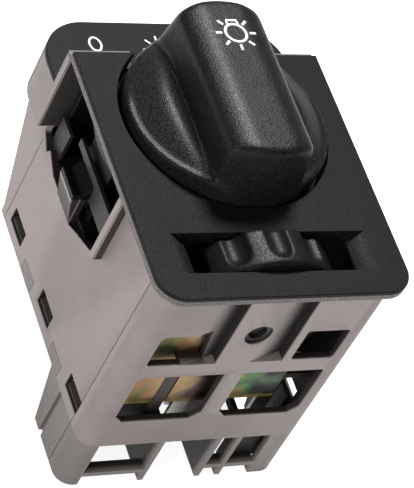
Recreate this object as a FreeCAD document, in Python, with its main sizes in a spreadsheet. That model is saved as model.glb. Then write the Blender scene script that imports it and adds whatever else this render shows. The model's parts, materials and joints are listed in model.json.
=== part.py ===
import FreeCAD, Part
import math
import os
import types

import Sketcher

# Rotary headlight switch for a dashboard, in millimetres, +Z out of the dashboard.
# Every piece is drawn in the face plate's own frame: X across the plate, Y up from its
# lower edge, Z out of its front surface. One placement then stands the switch on Z = 0.

doc = FreeCAD.newDocument("HeadlightSwitch")
sheet = doc.addObject("Spreadsheet::Sheet", "Sizes")

SIZES = [
    # face plate and overall body
    ("plate_width", 58, "width of the face plate"),
    ("plate_height", 64, "height of the face plate"),
    ("plate_thickness", 0.8, "thickness of the face plate"),
    ("plate_round", 6, "radius of its two lower corners"),
    ("overall_height", 82, "from the plate's lower edge to the top of the symbol strip"),
    ("body_depth", 70, "from the plate's front to the feet of the rear base"),
    # knob well and thumbwheel window in the plate
    ("knob_row", 45.7, "knob axis above the plate's lower edge"),
    ("well_radius", 23.5, "radius of the knob well"),
    ("well_depth", 6, "depth of the knob well"),
    ("well_wall", 1.2, "wall and floor of the knob well"),
    ("well_hole", 8.5, "radius of the hole in the well's floor"),
    ("window_low", 6.1, "lower edge of the thumbwheel window"),
    ("window_height", 10, "height of the thumbwheel window"),
    ("window_width", 37, "width of the thumbwheel window"),
    ("ramp_run", 3.9, "run of the finger ramp at each end of the window"),
    ("ramp_drop", 2.5, "drop of the finger ramp"),
    ("tray_wall", 1, "wall round the thumbwheel window"),
    # knob
    ("knob_gap", 0.9, "gap between knob and well"),
    ("knob_rim", 1.5, "height of the knob's rim above the plate"),
    ("knob_skirt", 4, "depth of the knob's skirt below the plate"),
    ("knob_dome", 8.4, "height of the knob's cone at its top"),
    ("cone_radius", 8, "radius of the knob's cone at its top"),
    ("knob_top", 15.5, "height of the grip above the plate"),
    ("knob_wall", 1.8, "wall of the hollow knob"),
    ("grip_width", 19.2, "width of the grip"),
    ("grip_lean", 1.1, "lean of the grip's sides and ends"),
    ("grip_crown", 2.4, "rise of the grip's crown over its edges"),
    ("grip_round", 1.8, "radius along the grip's edges"),
    ("grip_end_round", 5, "radius at the grip's two ends"),
    ("scoop_radius", 3.4, "radius of the finger scoops"),
    ("scoop_height", 7.4, "height of the scoops' centre"),
    ("hub_radius", 6, "radius of the knob's hub"),
    ("hub_drop", 1.2, "drop of the hub below the skirt"),
    # shaft and contacts
    ("shaft_radius", 3.5, "radius of the selector shaft"),
    ("shaft_tail", 1.4, "reach of the shaft below the contact rotor"),
    ("ring_thickness", 0.7, "thickness of the retaining ring"),
    ("ring_bite", 0.6, "depth of the retaining ring's groove"),
    ("ring_width", 1.8, "width of the retaining ring outside the shaft"),
    ("rotor_radius", 15, "radius of the contact rotor"),
    ("rotor_hub", 2.7, "height of the rotor's hub above its disc"),
    ("rotor_thickness", 3, "thickness of the contact rotor"),
    ("detent_angle", 30, "angle between two switch positions"),
    ("detent_nose", 1.4, "size of the detent spring's nose"),
    ("contact_radius", 10, "radius of the contact circle"),
    ("contact_height", 1.2, "height of a moving contact"),
    ("contact_width", 4, "width of the contact track"),
    ("track_height", 2.5, "height of a fixed contact on the board"),
    ("contact_spacing", 55, "angle between two contacts"),
    ("contact_sweep", 48, "angle that a fixed contact spans"),
    ("bridge_overrun", 15, "angle of the moving contact past its outer buttons"),
    # housing
    ("flange_thickness", 1.5, "flange behind the face plate"),
    ("wall", 1.6, "wall of the housing"),
    ("wall_inset", 2.3, "from the plate's edge to the housing wall"),
    ("housing_depth", 55.2, "from the plate's front to the housing's open end"),
    ("housing_round", 4, "radius of the housing's long corners"),
    ("symbol_drop", 10.5, "from the plate's front to the symbol strip"),
    ("symbol_thickness", 1.2, "thickness of the symbol strip"),
    ("symbol_round", 11, "radius of the symbol strip's corners"),
    ("symbol_block_depth", 24, "depth of the symbol light box"),
    ("shoulder_height", 79, "height of the back's slope at the light box"),
    ("rear_height", 68, "height of the back's slope at the open end"),
    ("sleeve_depth", 9, "depth of the sleeve round the knob well"),
    ("sleeve_wall", 0.8, "wall of the sleeve round the knob well"),
    ("line_width", 0.25, "width and depth of the moulded corner lines"),
    ("line_place", 6.4, "corner line above the front wall"),
    # latch recess
    ("recess_low", 27.5, "lower edge of the latch recess"),
    ("recess_depth", 28.6, "deepest edge of the latch recess"),
    ("recess_corner", 3.9, "size of the recess's lower corner"),
    ("recess_slope", 1.2, "rise of the recess's edge beside the latch"),
    ("recess_dip", 0.8, "dip of the recess's edge at the latch"),
    ("recess_step", 5, "run of each step at the recess's upper end"),
    ("recess_rise", 2.3, "rise of each step at the recess's upper end"),
    ("rib_depth", 21, "depth of the rib below the latch recess"),
    ("tongue_height", 8, "height of the lead-in tongue below a latch"),
    ("guide_thickness", 0.9, "thickness of the guides behind the recess"),
    ("guide_reach", 7, "reach of the upper guide from the plate's upper edge"),
    ("guide_height", 9.6, "height of the upper guide"),
    ("lower_guide_height", 2, "height of the lower guide past the latch"),
    ("lower_guide_reach", 3.4, "reach of the lower guide past the latch"),
    # snap windows and tab notches
    ("hook_pitch", 22.2, "pitch of the snap windows"),
    ("hook_first", 12.6, "height of the first snap window"),
    ("hook_width", 7.9, "width of a snap window"),
    ("hook_height", 4.4, "height of a snap window"),
    ("hook_edge", 2.8, "from the housing's end to a snap window"),
    ("hook_reach", 2, "reach of a hook into its snap window"),
    ("notch_width", 6.9, "width of a tab notch"),
    ("notch_height", 3.8, "height of a tab notch"),
    # windows and channels in the front wall
    ("upper_window_top", 16, "top edge of the two small windows"),
    ("upper_window_end", 26, "lower edge of the two small windows"),
    ("lower_window_top", 30.3, "top edge of the two large windows"),
    ("lower_window_end", 46.3, "lower edge of the two large windows"),
    ("window_margin", 2.9, "from the housing's inner side to the windows"),
    ("right_margin", 0.5, "extra margin of the windows on the right"),
    ("left_window_edge", 2.6, "from the left channel's step to its window"),
    ("right_window_edge", 1.9, "from the right channel's step to its window"),
    ("window_lean", 1.5, "lean of the left small window's side"),
    ("window_chamfer", 2.1, "chamfer of the large windows"),
    ("window_round", 0.8, "corner radius of the windows"),
    ("post_width", 4.2, "width of the post between the large windows"),
    ("channel_depth", 2.4, "depth of the two ramped channels"),
    ("channel_end", 26.2, "lower end of the ramped channels"),
    ("channel_run", 8, "run of a channel's ramp"),
    ("left_step_place", 6.2, "step of the left channel, left of the middle"),
    ("right_step_place", 9.6, "step of the right channel, right of the middle"),
    # thumbwheel
    ("wheel_radius", 19, "radius of the thumbwheel"),
    ("wheel_rise", 2.3, "height of the thumbwheel above the plate"),
    ("wheel_rim", 5, "depth of the thumbwheel's rim"),
    ("wheel_web", 2.4, "thickness of the thumbwheel's web"),
    ("wheel_round", 1.1, "radius of the thumbwheel's edges"),
    ("wheel_scallops", 13, "number of finger scallops round the thumbwheel"),
    ("scallop_radius", 3.1, "radius of a finger scallop"),
    ("scallop_depth", 1.5, "depth of a finger scallop"),
    ("axle_radius", 2, "radius of the thumbwheel's axle"),
    ("bearing_step", 1.1, "width of the step round the front bearing"),
    ("bearing_wall_place", 18.3, "height of the bearing wall behind the thumbwheel"),
    ("wiper_width", 3, "width of the dimmer's wiper"),
    ("wiper_thickness", 0.5, "thickness of the dimmer's wiper"),
    ("track_radius", 11, "radius of the dimmer's track"),
    ("track_width", 4, "width of the dimmer's track"),
    # side latches
    ("latch_width", 8.1, "width of a latch"),
    ("latch_top", 17.6, "depth of the latch's upper face"),
    ("latch_height", 6.4, "height of the latch's bar"),
    ("ledge_drop", 2.4, "drop of the latch's ledge below its upper face"),
    ("ledge_thickness", 1.1, "thickness of the latch's ledge"),
    ("ledge_reach", 2.1, "reach of the latch's ledge"),
    ("latch_slope", 0.7, "from the carrier's side to the top of the latch's slope"),
    ("latch_hold", 5.5, "length of the latch inside the carrier"),
    ("spring_room", 7, "room for the latch spring behind a latch"),
    ("spring_radius", 1.9, "radius of the latch spring"),
    ("spring_wire", 0.6, "wire of the latch spring"),
    ("spring_turns", 4, "turns of the latch spring"),
    ("carrier_gap", 1.6, "gap between the carrier's sides and the housing"),
    ("carrier_top", 11, "depth of the carrier's upper face"),
    ("carrier_floor", 5, "floor of the carrier below the latches"),
    ("carrier_low", 27, "lower side of the carrier block"),
    ("hollow_depth", 8, "depth of the hollows in the carrier's sides"),
    # rear base
    ("base_plate", 2, "thickness of the rear base's plate"),
    ("base_reach", 23.6, "reach of the connector skirt at its root"),
    ("base_taper", 3.8, "how far the skirt tapers towards its feet"),
    ("foot_width", 4.8, "width of the outer feet"),
    ("wide_foot", 2.3, "extra width of the right foot"),
    ("side_slot_place", 8.3, "from the skirt's root to the slot in its side"),
    ("side_slot_width", 1.5, "width of the slot in the skirt's side"),
    ("foot_height", 3, "height of the feet below the cross bars"),
    ("bar_height", 1.4, "height of the cross bars"),
    ("partition", 1.2, "thickness of the partitions between the sockets"),
    ("first_partition", -7.5, "left side of the first partition"),
    ("second_partition", 6.4, "left side of the second partition"),
    ("third_partition", 11.4, "left side of the third partition"),
    # contact board, blades, heat plate and lamp
    ("board_thickness", 1.6, "thickness of the contact board"),
    ("board_low", 8, "lower edge of the contact board"),
    ("blade_row", 11.5, "height of the front row of terminal blades"),
    ("blade_pitch", 6.5, "pitch of the two rows of terminal blades"),
    ("blade_step", 3.4, "sideways step between the blades of the two rows"),
    ("blade_width", 4, "width of a terminal blade"),
    ("blade_thickness", 0.8, "thickness of a terminal blade"),
    ("blade_end", 65, "depth of a terminal blade's tip"),
    ("heat_plate_place", 5.5, "height of the heat plate behind the front wall"),
    ("heat_plate_thickness", 0.6, "thickness of the heat plate"),
    ("heat_plate_drop", 2.8, "drop of the heat plate below the contact board"),
    ("heat_plate_top", 27.8, "upper edge of the heat plate"),
    ("heat_plate_tab", 12, "upper edge of the heat plate's tab"),
    ("heat_plate_right", 16, "right edge of the heat plate"),
    ("tab_right", 9.3, "right edge of the tab, left of the middle"),
    ("sheet_slot_place", 19.5, "left side of the heat plate's slot, left of the middle"),
    ("sheet_slot_width", 3.3, "width of the heat plate's slot"),
    ("bulb_radius", 2.5, "radius of the symbol bulb"),
    ("bulb_top", 14, "depth of the symbol bulb's top"),
    ("holder_radius", 4, "radius of the bulb holder"),
    ("holder_lip", 1, "step of the bulb holder's lip and plug"),
    ("holder_end", 30, "depth of the bulb holder's end"),
    ("bulb_inset", 6, "bulb above the symbol strip's lower edge"),
    # clearances
    ("fit_gap", 0.15, "clearance between fixed pieces"),
    ("run_gap", 0.3, "clearance round moving pieces"),
    ("bearing_gap", 0.05, "radial clearance of a shaft in its bearing"),
]


class Size:
    """A length or an angle with its formula, so that sums of sizes stay bound to the sheet."""

    def __init__(self, value, formula):
        self.value = value
        self.formula = formula

    def __add__(self, other):
        other = as_size(other)
        return Size(self.value + other.value, f"({self.formula} + {other.formula})")

    def __sub__(self, other):
        other = as_size(other)
        return Size(self.value - other.value, f"({self.formula} - {other.formula})")

    def __mul__(self, other):
        other = as_size(other)
        return Size(self.value * other.value, f"({self.formula} * {other.formula})")

    def __truediv__(self, other):
        other = as_size(other)
        return Size(self.value / other.value, f"({self.formula} / {other.formula})")

    def __neg__(self):
        return Size(-self.value, f"(-1 * {self.formula})")

    __radd__ = __add__
    __rmul__ = __mul__

    def __rsub__(self, other):
        return as_size(other) - self


def as_size(number):
    """A plain number as a size."""
    return number if isinstance(number, Size) else Size(number, str(number))


def least(first, second):
    """The smaller of two sizes, for a corner that its wall limits."""
    first, second = as_size(first), as_size(second)
    return Size(min(first.value, second.value), f"min({first.formula}; {second.formula})")


def fill_sheet():
    """Write the driving dimensions into the sheet and return them by name."""
    found = {}
    for row, (name, number, meaning) in enumerate(SIZES, start=1):
        sheet.set(f"A{row}", meaning)
        sheet.set(f"B{row}", str(number))
        sheet.setAlias(f"B{row}", name)
        found[name] = Size(number, f"Sizes.{name}")
    doc.recompute()
    return types.SimpleNamespace(**found)


s = fill_sheet()

# Places that several pieces share
half_plate = s.plate_width / 2
side = half_plate - s.wall_inset
inner_side = side - s.wall
inner_round = s.housing_round - s.wall
front = s.wall_inset
inner_front = front + s.wall
backing = inner_front + s.wall
rib_top = s.plate_height + s.wall
flange_top = -s.plate_thickness
flange_under = flange_top - s.flange_thickness
root = -s.housing_depth
knob_radius = s.well_radius - s.knob_gap
cup_radius = s.well_radius + s.well_wall
grip_edge = s.knob_top - s.grip_crown
scoop_side = s.grip_width / 2 + s.scoop_radius - s.grip_lean / 2
tray_side = s.window_width / 2 + s.ramp_run + s.tray_wall
tray_under = -(s.ramp_drop + s.plate_thickness)
window_top = s.window_low + s.window_height
wheel_depth = s.wheel_radius - s.wheel_rise
wheel_low = s.window_low + s.run_gap
wheel_high = window_top - s.run_gap
bearing_back = s.bearing_wall_place + s.wall
window_outer = inner_side - s.window_margin
left_step = -s.left_step_place
right_step = s.right_step_place
symbol_under = -(s.symbol_drop + s.symbol_thickness)
box_floor = -(s.symbol_block_depth - s.wall)
bulb_row = rib_top + s.bulb_inset
latch_low = s.knob_row - s.latch_width / 2
latch_high = s.knob_row + s.latch_width / 2
latch_under = -(s.latch_top + s.latch_height)
carrier_side = inner_side - s.carrier_gap
carrier_under = latch_under - s.carrier_floor
latch_tail = carrier_side - s.latch_hold
spring_seat = latch_tail - s.spring_room
ledge = -(s.latch_top + s.ledge_drop)
nose_under = ledge - s.ledge_thickness
tongue_top = nose_under - s.run_gap
guide_under = s.run_gap * 2 - s.latch_top
guide_high = s.plate_height - s.guide_reach
corner_line = front + s.line_place
hook_low = root + s.hook_edge
slot_left = -s.sheet_slot_place
slot_right = slot_left + s.sheet_slot_width
slot_top = -(s.heat_plate_top + s.wall)
notch_first = s.hook_first + s.hook_pitch / 2
base_side = inner_side - s.fit_gap
base_top = root + s.base_plate
bar_low = -s.body_depth + s.foot_height + s.bar_height
ring_low = carrier_under - s.run_gap - s.ring_thickness
rotor_top = ring_low - s.run_gap - s.rotor_hub
rotor_under = rotor_top - s.rotor_thickness
track_top = rotor_under - s.contact_height - s.run_gap
board_top = track_top - s.track_height
board_under = board_top - s.board_thickness
upright = FreeCAD.Rotation(FreeCAD.Vector(1, 0, 0), 90)

parts = []


def bind(thing, name, size):
    """Bind one property of an object to a size."""
    thing.setExpression(name, as_size(size).formula)


def place(piece, up=0, out=0):
    """Stand a piece in the object's frame and keep it for the export."""
    bind(piece, "Placement.Base.y", up - s.overall_height / 2)
    bind(piece, "Placement.Base.z", out + s.body_depth)
    parts.append(piece)
    return piece


def new_body(name, up=0, out=0):
    """A body for one piece, whose own origin lies up and out from the plate's lower edge."""
    body = doc.addObject("PartDesign::Body", name)
    body.Label = name
    return place(body, up, out)


def plane_of(body, role):
    """One of the body's own origin planes or axes."""
    return next(item for item in body.Origin.OriginFeatures if item.Role == role)


def corner_arc(before, corner, after, radius):
    """Tangent points, centre and sweep of the arc that rounds one corner of an outline."""
    to_before = (before - corner).normalize()
    to_after = (after - corner).normalize()
    opening = to_before.getAngle(to_after)
    reach = radius / math.tan(opening / 2)
    middle = (to_before + to_after).normalize()
    centre = corner + middle * (radius / math.sin(opening / 2))
    return corner + to_before * reach, corner + to_after * reach, centre


def draw_outline(sketch, points, rounds):
    """Closed outline through the points, each bound to its sizes; rounds maps a corner to a radius."""
    spots = [FreeCAD.Vector(as_size(u).value, as_size(v).value, 0) for u, v in points]
    count = len(spots)
    starts, ends, arcs = {}, {}, {}
    for i in range(count):
        starts[i] = ends[i] = spots[i]
        if i in rounds:
            radius = as_size(rounds[i]).value
            leaves, joins, centre = corner_arc(spots[i - 1], spots[i], spots[(i + 1) % count], radius)
            ends[i], starts[i] = leaves, joins
            turn = (joins - centre).cross(leaves - centre).z
            first, last = (leaves, joins) if turn < 0 else (joins, leaves)
            a = math.atan2((first - centre).y, (first - centre).x)
            b = math.atan2((last - centre).y, (last - centre).x)
            circle = Part.Circle(centre, FreeCAD.Vector(0, 0, 1), radius)
            arcs[i] = (Part.ArcOfCircle(circle, a, b), turn < 0)
    lines = [
        sketch.addGeometry(Part.LineSegment(starts[i], ends[(i + 1) % count]), False)
        for i in range(count)
    ]
    for i in range(count):
        u, v = points[i]
        into, out = lines[i - 1], lines[i]
        if i in rounds:
            arc, forward = arcs[i]
            bend = sketch.addGeometry(arc, False)
            first, last = (1, 2) if forward else (2, 1)
            sketch.addConstraint(Sketcher.Constraint("Tangent", into, 2, bend, first))
            sketch.addConstraint(Sketcher.Constraint("Tangent", bend, last, out, 1))
            spot = sketch.addGeometry(Part.Point(spots[i]), True)
            sketch.addConstraint(Sketcher.Constraint("PointOnObject", spot, 1, into))
            sketch.addConstraint(Sketcher.Constraint("PointOnObject", spot, 1, out))
            radius = sketch.addConstraint(Sketcher.Constraint("Radius", bend, as_size(rounds[i]).value))
            bind(sketch, f"Constraints[{radius}]", rounds[i])
            anchor = (spot, 1)
        else:
            sketch.addConstraint(Sketcher.Constraint("Coincident", into, 2, out, 1))
            anchor = (out, 1)
        for kind, size in (("DistanceX", u), ("DistanceY", v)):
            size = as_size(size)
            held = sketch.addConstraint(Sketcher.Constraint(kind, -1, 1, *anchor, size.value))
            bind(sketch, f"Constraints[{held}]", size)


def draw_circle(sketch, u, v, radius):
    """A circle whose centre and radius are bound to their sizes."""
    u, v, radius = as_size(u), as_size(v), as_size(radius)
    centre = FreeCAD.Vector(u.value, v.value, 0)
    ring = sketch.addGeometry(Part.Circle(centre, FreeCAD.Vector(0, 0, 1), radius.value), False)
    for kind, size in (("DistanceX", u), ("DistanceY", v)):
        held = sketch.addConstraint(Sketcher.Constraint(kind, -1, 1, ring, 3, size.value))
        bind(sketch, f"Constraints[{held}]", size)
    held = sketch.addConstraint(Sketcher.Constraint("Radius", ring, radius.value))
    bind(sketch, f"Constraints[{held}]", radius)


def new_sketch(body, name, plane, offset):
    """A sketch on one of the body's planes, moved along the plane's world axis by offset."""
    sketch = body.newObject("Sketcher::SketchObject", name)
    sketch.AttachmentSupport = [(plane_of(body, plane + "_Plane"), "")]
    sketch.MapMode = "FlatFace"
    bind(sketch, "AttachmentOffset.Base.z", -as_size(offset) if plane == "XZ" else offset)
    return sketch


def section(body, name, plane, offset, outlines=(), circles=()):
    """A sketch with outlines, given as points or as points with rounds, and circles."""
    sketch = new_sketch(body, name, plane, offset)
    for outline in outlines:
        points, rounds = outline if isinstance(outline, tuple) else (outline, {})
        draw_outline(sketch, points, rounds)
    for circle in circles:
        draw_circle(sketch, *circle)
    return sketch


def prism(body, kind, name, plane, low, high, outlines=(), circles=()):
    """A Pad or Pocket between two places along the sketch plane's world axis."""
    low, high = as_size(low), as_size(high)
    sketch = section(body, name + "_sketch", plane, high if plane == "XZ" else low, outlines, circles)
    doc.recompute()
    before = body.Shape.Volume if body.Tip else 0
    feature = body.newObject("PartDesign::" + kind, name)
    feature.Profile = sketch
    bind(feature, "Length", high - low)
    feature.Reversed = kind == "Pocket"
    doc.recompute()
    change = feature.Shape.Volume - before
    if (change <= 0) == (kind == "Pad"):
        raise RuntimeError(f"{body.Label}: {name} changed the volume by {change:.3f}")
    return feature


def pad(body, name, plane, low, high, outlines=(), circles=()):
    return prism(body, "Pad", name, plane, low, high, outlines, circles)


def pocket(body, name, plane, low, high, outlines=(), circles=()):
    return prism(body, "Pocket", name, plane, low, high, outlines, circles)


def rectangle(left, right, low, high):
    """Corners of an upright rectangle, anticlockwise from its lower left."""
    return [(left, low), (right, low), (right, high), (left, high)]


def turned(body, name, points, rounds=None):
    """A Revolution of one outline in the XZ plane about the body's own Z axis."""
    sketch = section(body, name + "_sketch", "XZ", 0, [(points, rounds or {})])
    feature = body.newObject("PartDesign::Revolution", name)
    feature.Profile = sketch
    feature.ReferenceAxis = (sketch, ["V_Axis"])
    feature.Angle = 360
    doc.recompute()
    return feature


def loft(body, kind, name, sections):
    """A straight loft between two sketches."""
    feature = body.newObject("PartDesign::" + kind, name)
    feature.Profile = sections[0]
    feature.Sections = sections[1:]
    feature.Ruled = True
    doc.recompute()
    return feature


def mirrored(body, name, features):
    """The same features on the other side of the middle."""
    feature = body.newObject("PartDesign::Mirrored", name)
    feature.Originals = features
    feature.MirrorPlane = (plane_of(body, "YZ_Plane"), [""])
    body.Tip = feature
    doc.recompute()
    return feature


def row_of(body, name, features, axis, pitch, count):
    """Evenly spaced copies of features along one of the body's axes."""
    feature = body.newObject("PartDesign::LinearPattern", name)
    feature.Originals = features
    feature.Direction = (plane_of(body, axis + "_Axis"), [""])
    feature.Occurrences = count
    bind(feature, "Length", pitch * (count - 1))
    body.Tip = feature
    doc.recompute()
    return feature


def rounded_edges(body, name, chosen, radius):
    """A fillet on the edges of the body's tip that pass the test."""
    doc.recompute()
    tip = body.Tip
    names = [f"Edge{i}" for i, edge in enumerate(tip.Shape.Edges, start=1) if chosen(edge)]
    feature = body.newObject("PartDesign::Fillet", name)
    feature.Base = (tip, names)
    bind(feature, "Radius", radius)
    doc.recompute()
    return feature


def corner_fit(radius, room):
    """A corner radius that stays within nine tenths of the room beside it."""
    return least(radius, room * 0.9)


def plate_outline():
    """The face plate's outline, which the flange shares."""
    corners = rectangle(-half_plate, half_plate, 0, s.plate_height)
    return corners, {0: s.plate_round, 1: s.plate_round}


# Front bezel: a thin textured plate with the deep well for the knob, open at the plate's top
# edge, and a tray with two finger ramps for the thumbwheel.

def front_bezel():
    body = new_body("front_bezel")
    cup_under = -(s.well_depth + s.well_wall)
    pad(body, "plate", "XY", flange_top, 0, [plate_outline()])
    pad(body, "cup", "XY", cup_under, flange_top, circles=[(0, s.knob_row, cup_radius)])
    pad(body, "tray", "XY", tray_under, flange_top,
        [rectangle(-tray_side, tray_side, s.window_low - s.tray_wall, window_top + s.tray_wall)])
    pocket(body, "well", "XY", -s.well_depth, 0, circles=[(0, s.knob_row, s.well_radius)])
    pocket(body, "well_opening", "XY", cup_under, 0,
           [rectangle(-cup_radius, cup_radius, s.plate_height, s.plate_height + s.well_radius)])
    pocket(body, "hub_opening", "XY", cup_under, -s.well_depth,
           circles=[(0, s.knob_row, s.well_hole)])
    half = s.window_width / 2
    ramps = [(-half, tray_under), (half, tray_under), (half, -s.ramp_drop),
             (half + s.ramp_run, 0), (-half - s.ramp_run, 0), (-half, -s.ramp_drop)]
    pocket(body, "thumbwheel_window", "XZ", s.window_low, window_top, [ramps])


# Symbol strip: the smooth black strip below the plate's top edge that carries the symbols.

def symbol_strip():
    body = new_body("symbol_strip")
    outline = rectangle(-half_plate, half_plate, rib_top, s.overall_height)
    bend = corner_fit(s.symbol_round, s.overall_height - rib_top)
    pad(body, "strip", "XY", symbol_under, -s.symbol_drop, [(outline, {2: bend, 3: bend})])


# Housing: a moulded shell, open at the rear. Outside it has the flange, the symbol light box,
# the sloping back, ribs and latch recesses on both sides, and in the front wall four windows,
# two ramped channels and the thumbwheel's stepped bearing hole.

def sloping_section(body, name, depth, side_at, low, high, radius):
    """Cross-section of the back at one depth, whose corners fit the height that it has."""
    outline = rectangle(-side_at, side_at, low, high)
    bend = corner_fit(radius, high - low)
    return section(body, name, "XY", depth, [(outline, {2: bend, 3: bend})])


def housing_shell(body):
    walls = rectangle(-side, side, front, rib_top)
    pad(body, "walls", "XY", -s.housing_depth, flange_under,
        [(walls, {0: s.housing_round, 1: s.housing_round})])
    pad(body, "flange", "XY", flange_under, flange_top, [plate_outline()])
    box = rectangle(-half_plate, half_plate, s.plate_height, s.overall_height)
    bend = corner_fit(s.symbol_round, s.overall_height - rib_top)
    pad(body, "light_box", "XY", -s.symbol_block_depth, symbol_under, [(box, {2: bend, 3: bend})])
    pad(body, "top_rib", "XY", -s.symbol_block_depth, (flange_top + flange_under) / 2,
        [rectangle(-half_plate, half_plate, s.plate_height, rib_top)])
    low = s.plate_height - s.wall
    upper = sloping_section(body, "slope_upper", -s.symbol_block_depth, side,
                            low, s.shoulder_height, s.housing_round)
    lower = sloping_section(body, "slope_lower", root, side, low, s.rear_height, s.housing_round)
    loft(body, "AdditiveLoft", "sloping_back", [upper, lower])


def housing_cavities(body):
    room = rectangle(-inner_side, inner_side, inner_front, s.plate_height)
    pocket(body, "room", "XY", -s.housing_depth, flange_under,
           [(room, {0: inner_round, 1: inner_round})])
    box_high = s.overall_height - s.wall
    box = rectangle(-(half_plate - s.wall), half_plate - s.wall, rib_top, box_high)
    bend = corner_fit(s.symbol_round - s.wall, box_high - rib_top)
    pocket(body, "light_box_room", "XY", box_floor, symbol_under, [(box, {2: bend, 3: bend})])
    low = s.plate_height - s.wall
    upper = sloping_section(body, "back_room_upper", -s.symbol_block_depth, inner_side,
                            low, s.shoulder_height - s.wall, inner_round)
    lower = sloping_section(body, "back_room_lower", -s.housing_depth, inner_side,
                            low, s.rear_height - s.wall, inner_round)
    loft(body, "SubtractiveLoft", "back_room", [upper, lower])
    pocket(body, "bulb_hole", "XY", -s.symbol_block_depth, box_floor,
           circles=[(0, bulb_row, s.holder_radius + s.fit_gap)])


def housing_sides(body):
    """Rib, latch recess with its tongue, guide and corner line on the left, then on the right."""
    deep = -s.recess_depth
    rib = pad(body, "low_rib", "XY", -s.rib_depth, flange_under,
              [rectangle(-half_plate, -inner_side, s.recess_low - s.wall, s.recess_low)])
    high = s.plate_height
    corner, step, rise = s.recess_corner, s.recess_step, s.recess_rise
    edge = [
        (s.recess_low, flange_under), (s.recess_low, deep + corner + rise),
        (s.recess_low + corner, deep + corner), (latch_low - corner, deep + s.recess_slope),
        (latch_low, deep - s.recess_dip), (latch_low, tongue_top), (latch_high, tongue_top),
        (latch_high, deep), (high - step * 2, deep), (high - step, deep + rise),
        (high - corner, deep + rise / 4), (high, deep + rise + s.recess_dip), (high, flange_under),
    ]
    recess = pocket(body, "recess", "YZ", -side, -inner_side, [edge])
    wedge = [(-side, tongue_top - s.tongue_height), (-side, tongue_top),
             (-half_plate + s.run_gap, tongue_top)]
    tongue = pad(body, "tongue", "XZ", latch_low, latch_high, [wedge])
    guide_end = latch_low - s.run_gap - s.fit_gap
    guide_past = latch_high + s.lower_guide_reach
    guide_over = guide_under + s.lower_guide_height
    guide = pad(body, "guide", "YZ", -inner_side, -inner_side + s.guide_thickness, [
        [(s.recess_low - s.wall, nose_under), (guide_end, nose_under), (guide_end, guide_under),
         (guide_past, guide_under), (guide_past, guide_over), (s.recess_low - s.wall, guide_over)],
        rectangle(guide_high, high - s.wall, deep, deep + s.guide_height)])
    line = pocket(body, "corner_line", "XY", -s.housing_depth, flange_under,
                  [rectangle(-side, -side + s.line_width, corner_line, corner_line + s.line_width)])
    mirrored(body, "right_side", [rib, recess, tongue, guide, line])
    inside = cup_radius + s.fit_gap
    pad(body, "well_sleeve", "XY", -s.sleeve_depth, flange_under,
        circles=[(0, s.knob_row, inside + s.sleeve_wall), (0, s.knob_row, inside)])
    pocket(body, "sleeve_trim", "XY", -s.sleeve_depth, flange_under,
           [rectangle(-cup_radius, cup_radius, rib_top, s.knob_row + inside + s.wall)])


def housing_openings(body):
    """Holes for the bezel's cup and tray, snap windows and tab notches."""
    gap = s.fit_gap
    pocket(body, "cup_hole", "XY", -(s.knob_skirt + 4 * s.run_gap), flange_top,
           circles=[(0, s.knob_row, cup_radius + gap)])
    snap = rectangle(s.hook_first - s.hook_width / 2, s.hook_first + s.hook_width / 2,
                     hook_low, hook_low + s.hook_height)
    window = pocket(body, "snap_window", "YZ", -side, side, [snap])
    row_of(body, "snap_windows", [window], "Y", s.hook_pitch, 3)
    notch = rectangle(notch_first - s.notch_width / 2, notch_first + s.notch_width / 2,
                      -s.housing_depth, -s.housing_depth + s.notch_height)
    cut = pocket(body, "tab_notch", "YZ", -side, side, [notch])
    row_of(body, "tab_notches", [cut], "Y", s.hook_pitch, 2)


def large_window(left, right, rounded, radius):
    """Outline of a large window, chamfered at the bottom and rounded at one top corner."""
    cut = s.window_chamfer
    top, end = -s.lower_window_top, -s.lower_window_end
    return [(left + cut, end), (right - cut, end), (right, end + cut), (right, top),
            (left, top), (left, end + cut)], {rounded: radius}


def housing_front_wall(body):
    """Backing and bearing wall for the thumbwheel, then the channels, windows and holes."""
    gap = s.fit_gap
    backing_low = -s.channel_end - s.wall / 2
    pad(body, "channel_backing", "XY", backing_low, flange_under,
        [rectangle(left_step - s.channel_run, right_step + s.wall, inner_front, backing)])
    pad(body, "bearing_wall", "XY", backing_low, flange_under,
        [rectangle(-inner_side, inner_side, s.bearing_wall_place, bearing_back)])
    pocket(body, "tray_hole", "XY", tray_under - gap, flange_top,
           [rectangle(-tray_side - gap, tray_side + gap,
                      s.window_low - s.tray_wall - gap, window_top + s.tray_wall + gap)])
    floor = front + s.channel_depth
    pocket(body, "channels", "XY", -s.channel_end, flange_under, [
        [(left_step - s.channel_run, front), (left_step, front), (left_step, floor)],
        [(right_step - s.channel_run, front), (right_step, front), (right_step, floor)]])
    outer = window_outer
    right_outer = outer - s.right_margin
    top, end = -s.upper_window_top, -s.upper_window_end
    corner = s.window_round
    post = s.post_width / 2
    edge = left_step - s.left_window_edge
    left_small = [(-outer, end), (edge, end), (edge - s.window_lean, top), (-outer, top)]
    right_small = rectangle(right_step + s.right_window_edge, right_outer, end, top)
    pocket(body, "windows", "XZ", front, backing, [
        (left_small, {0: corner, 3: 2 * corner}),
        (right_small, {0: corner, 1: corner, 2: corner, 3: corner}),
        large_window(-outer, -post, 4, 1.5 * corner),
        large_window(post, right_outer, 3, corner)])
    bearing = s.axle_radius + s.bearing_gap
    pocket(body, "bearing_counterbore", "XZ", front, front + s.wall / 2,
           circles=[(0, -wheel_depth, s.axle_radius + s.bearing_step)])
    pocket(body, "front_bearing", "XZ", front, backing, circles=[(0, -wheel_depth, bearing)])
    pocket(body, "rear_bearing", "XZ", s.bearing_wall_place, bearing_back,
           circles=[(0, -wheel_depth, bearing)])


def housing():
    body = new_body("housing")
    housing_shell(body)
    housing_cavities(body)
    housing_sides(body)
    housing_openings(body)
    housing_front_wall(body)


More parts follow.
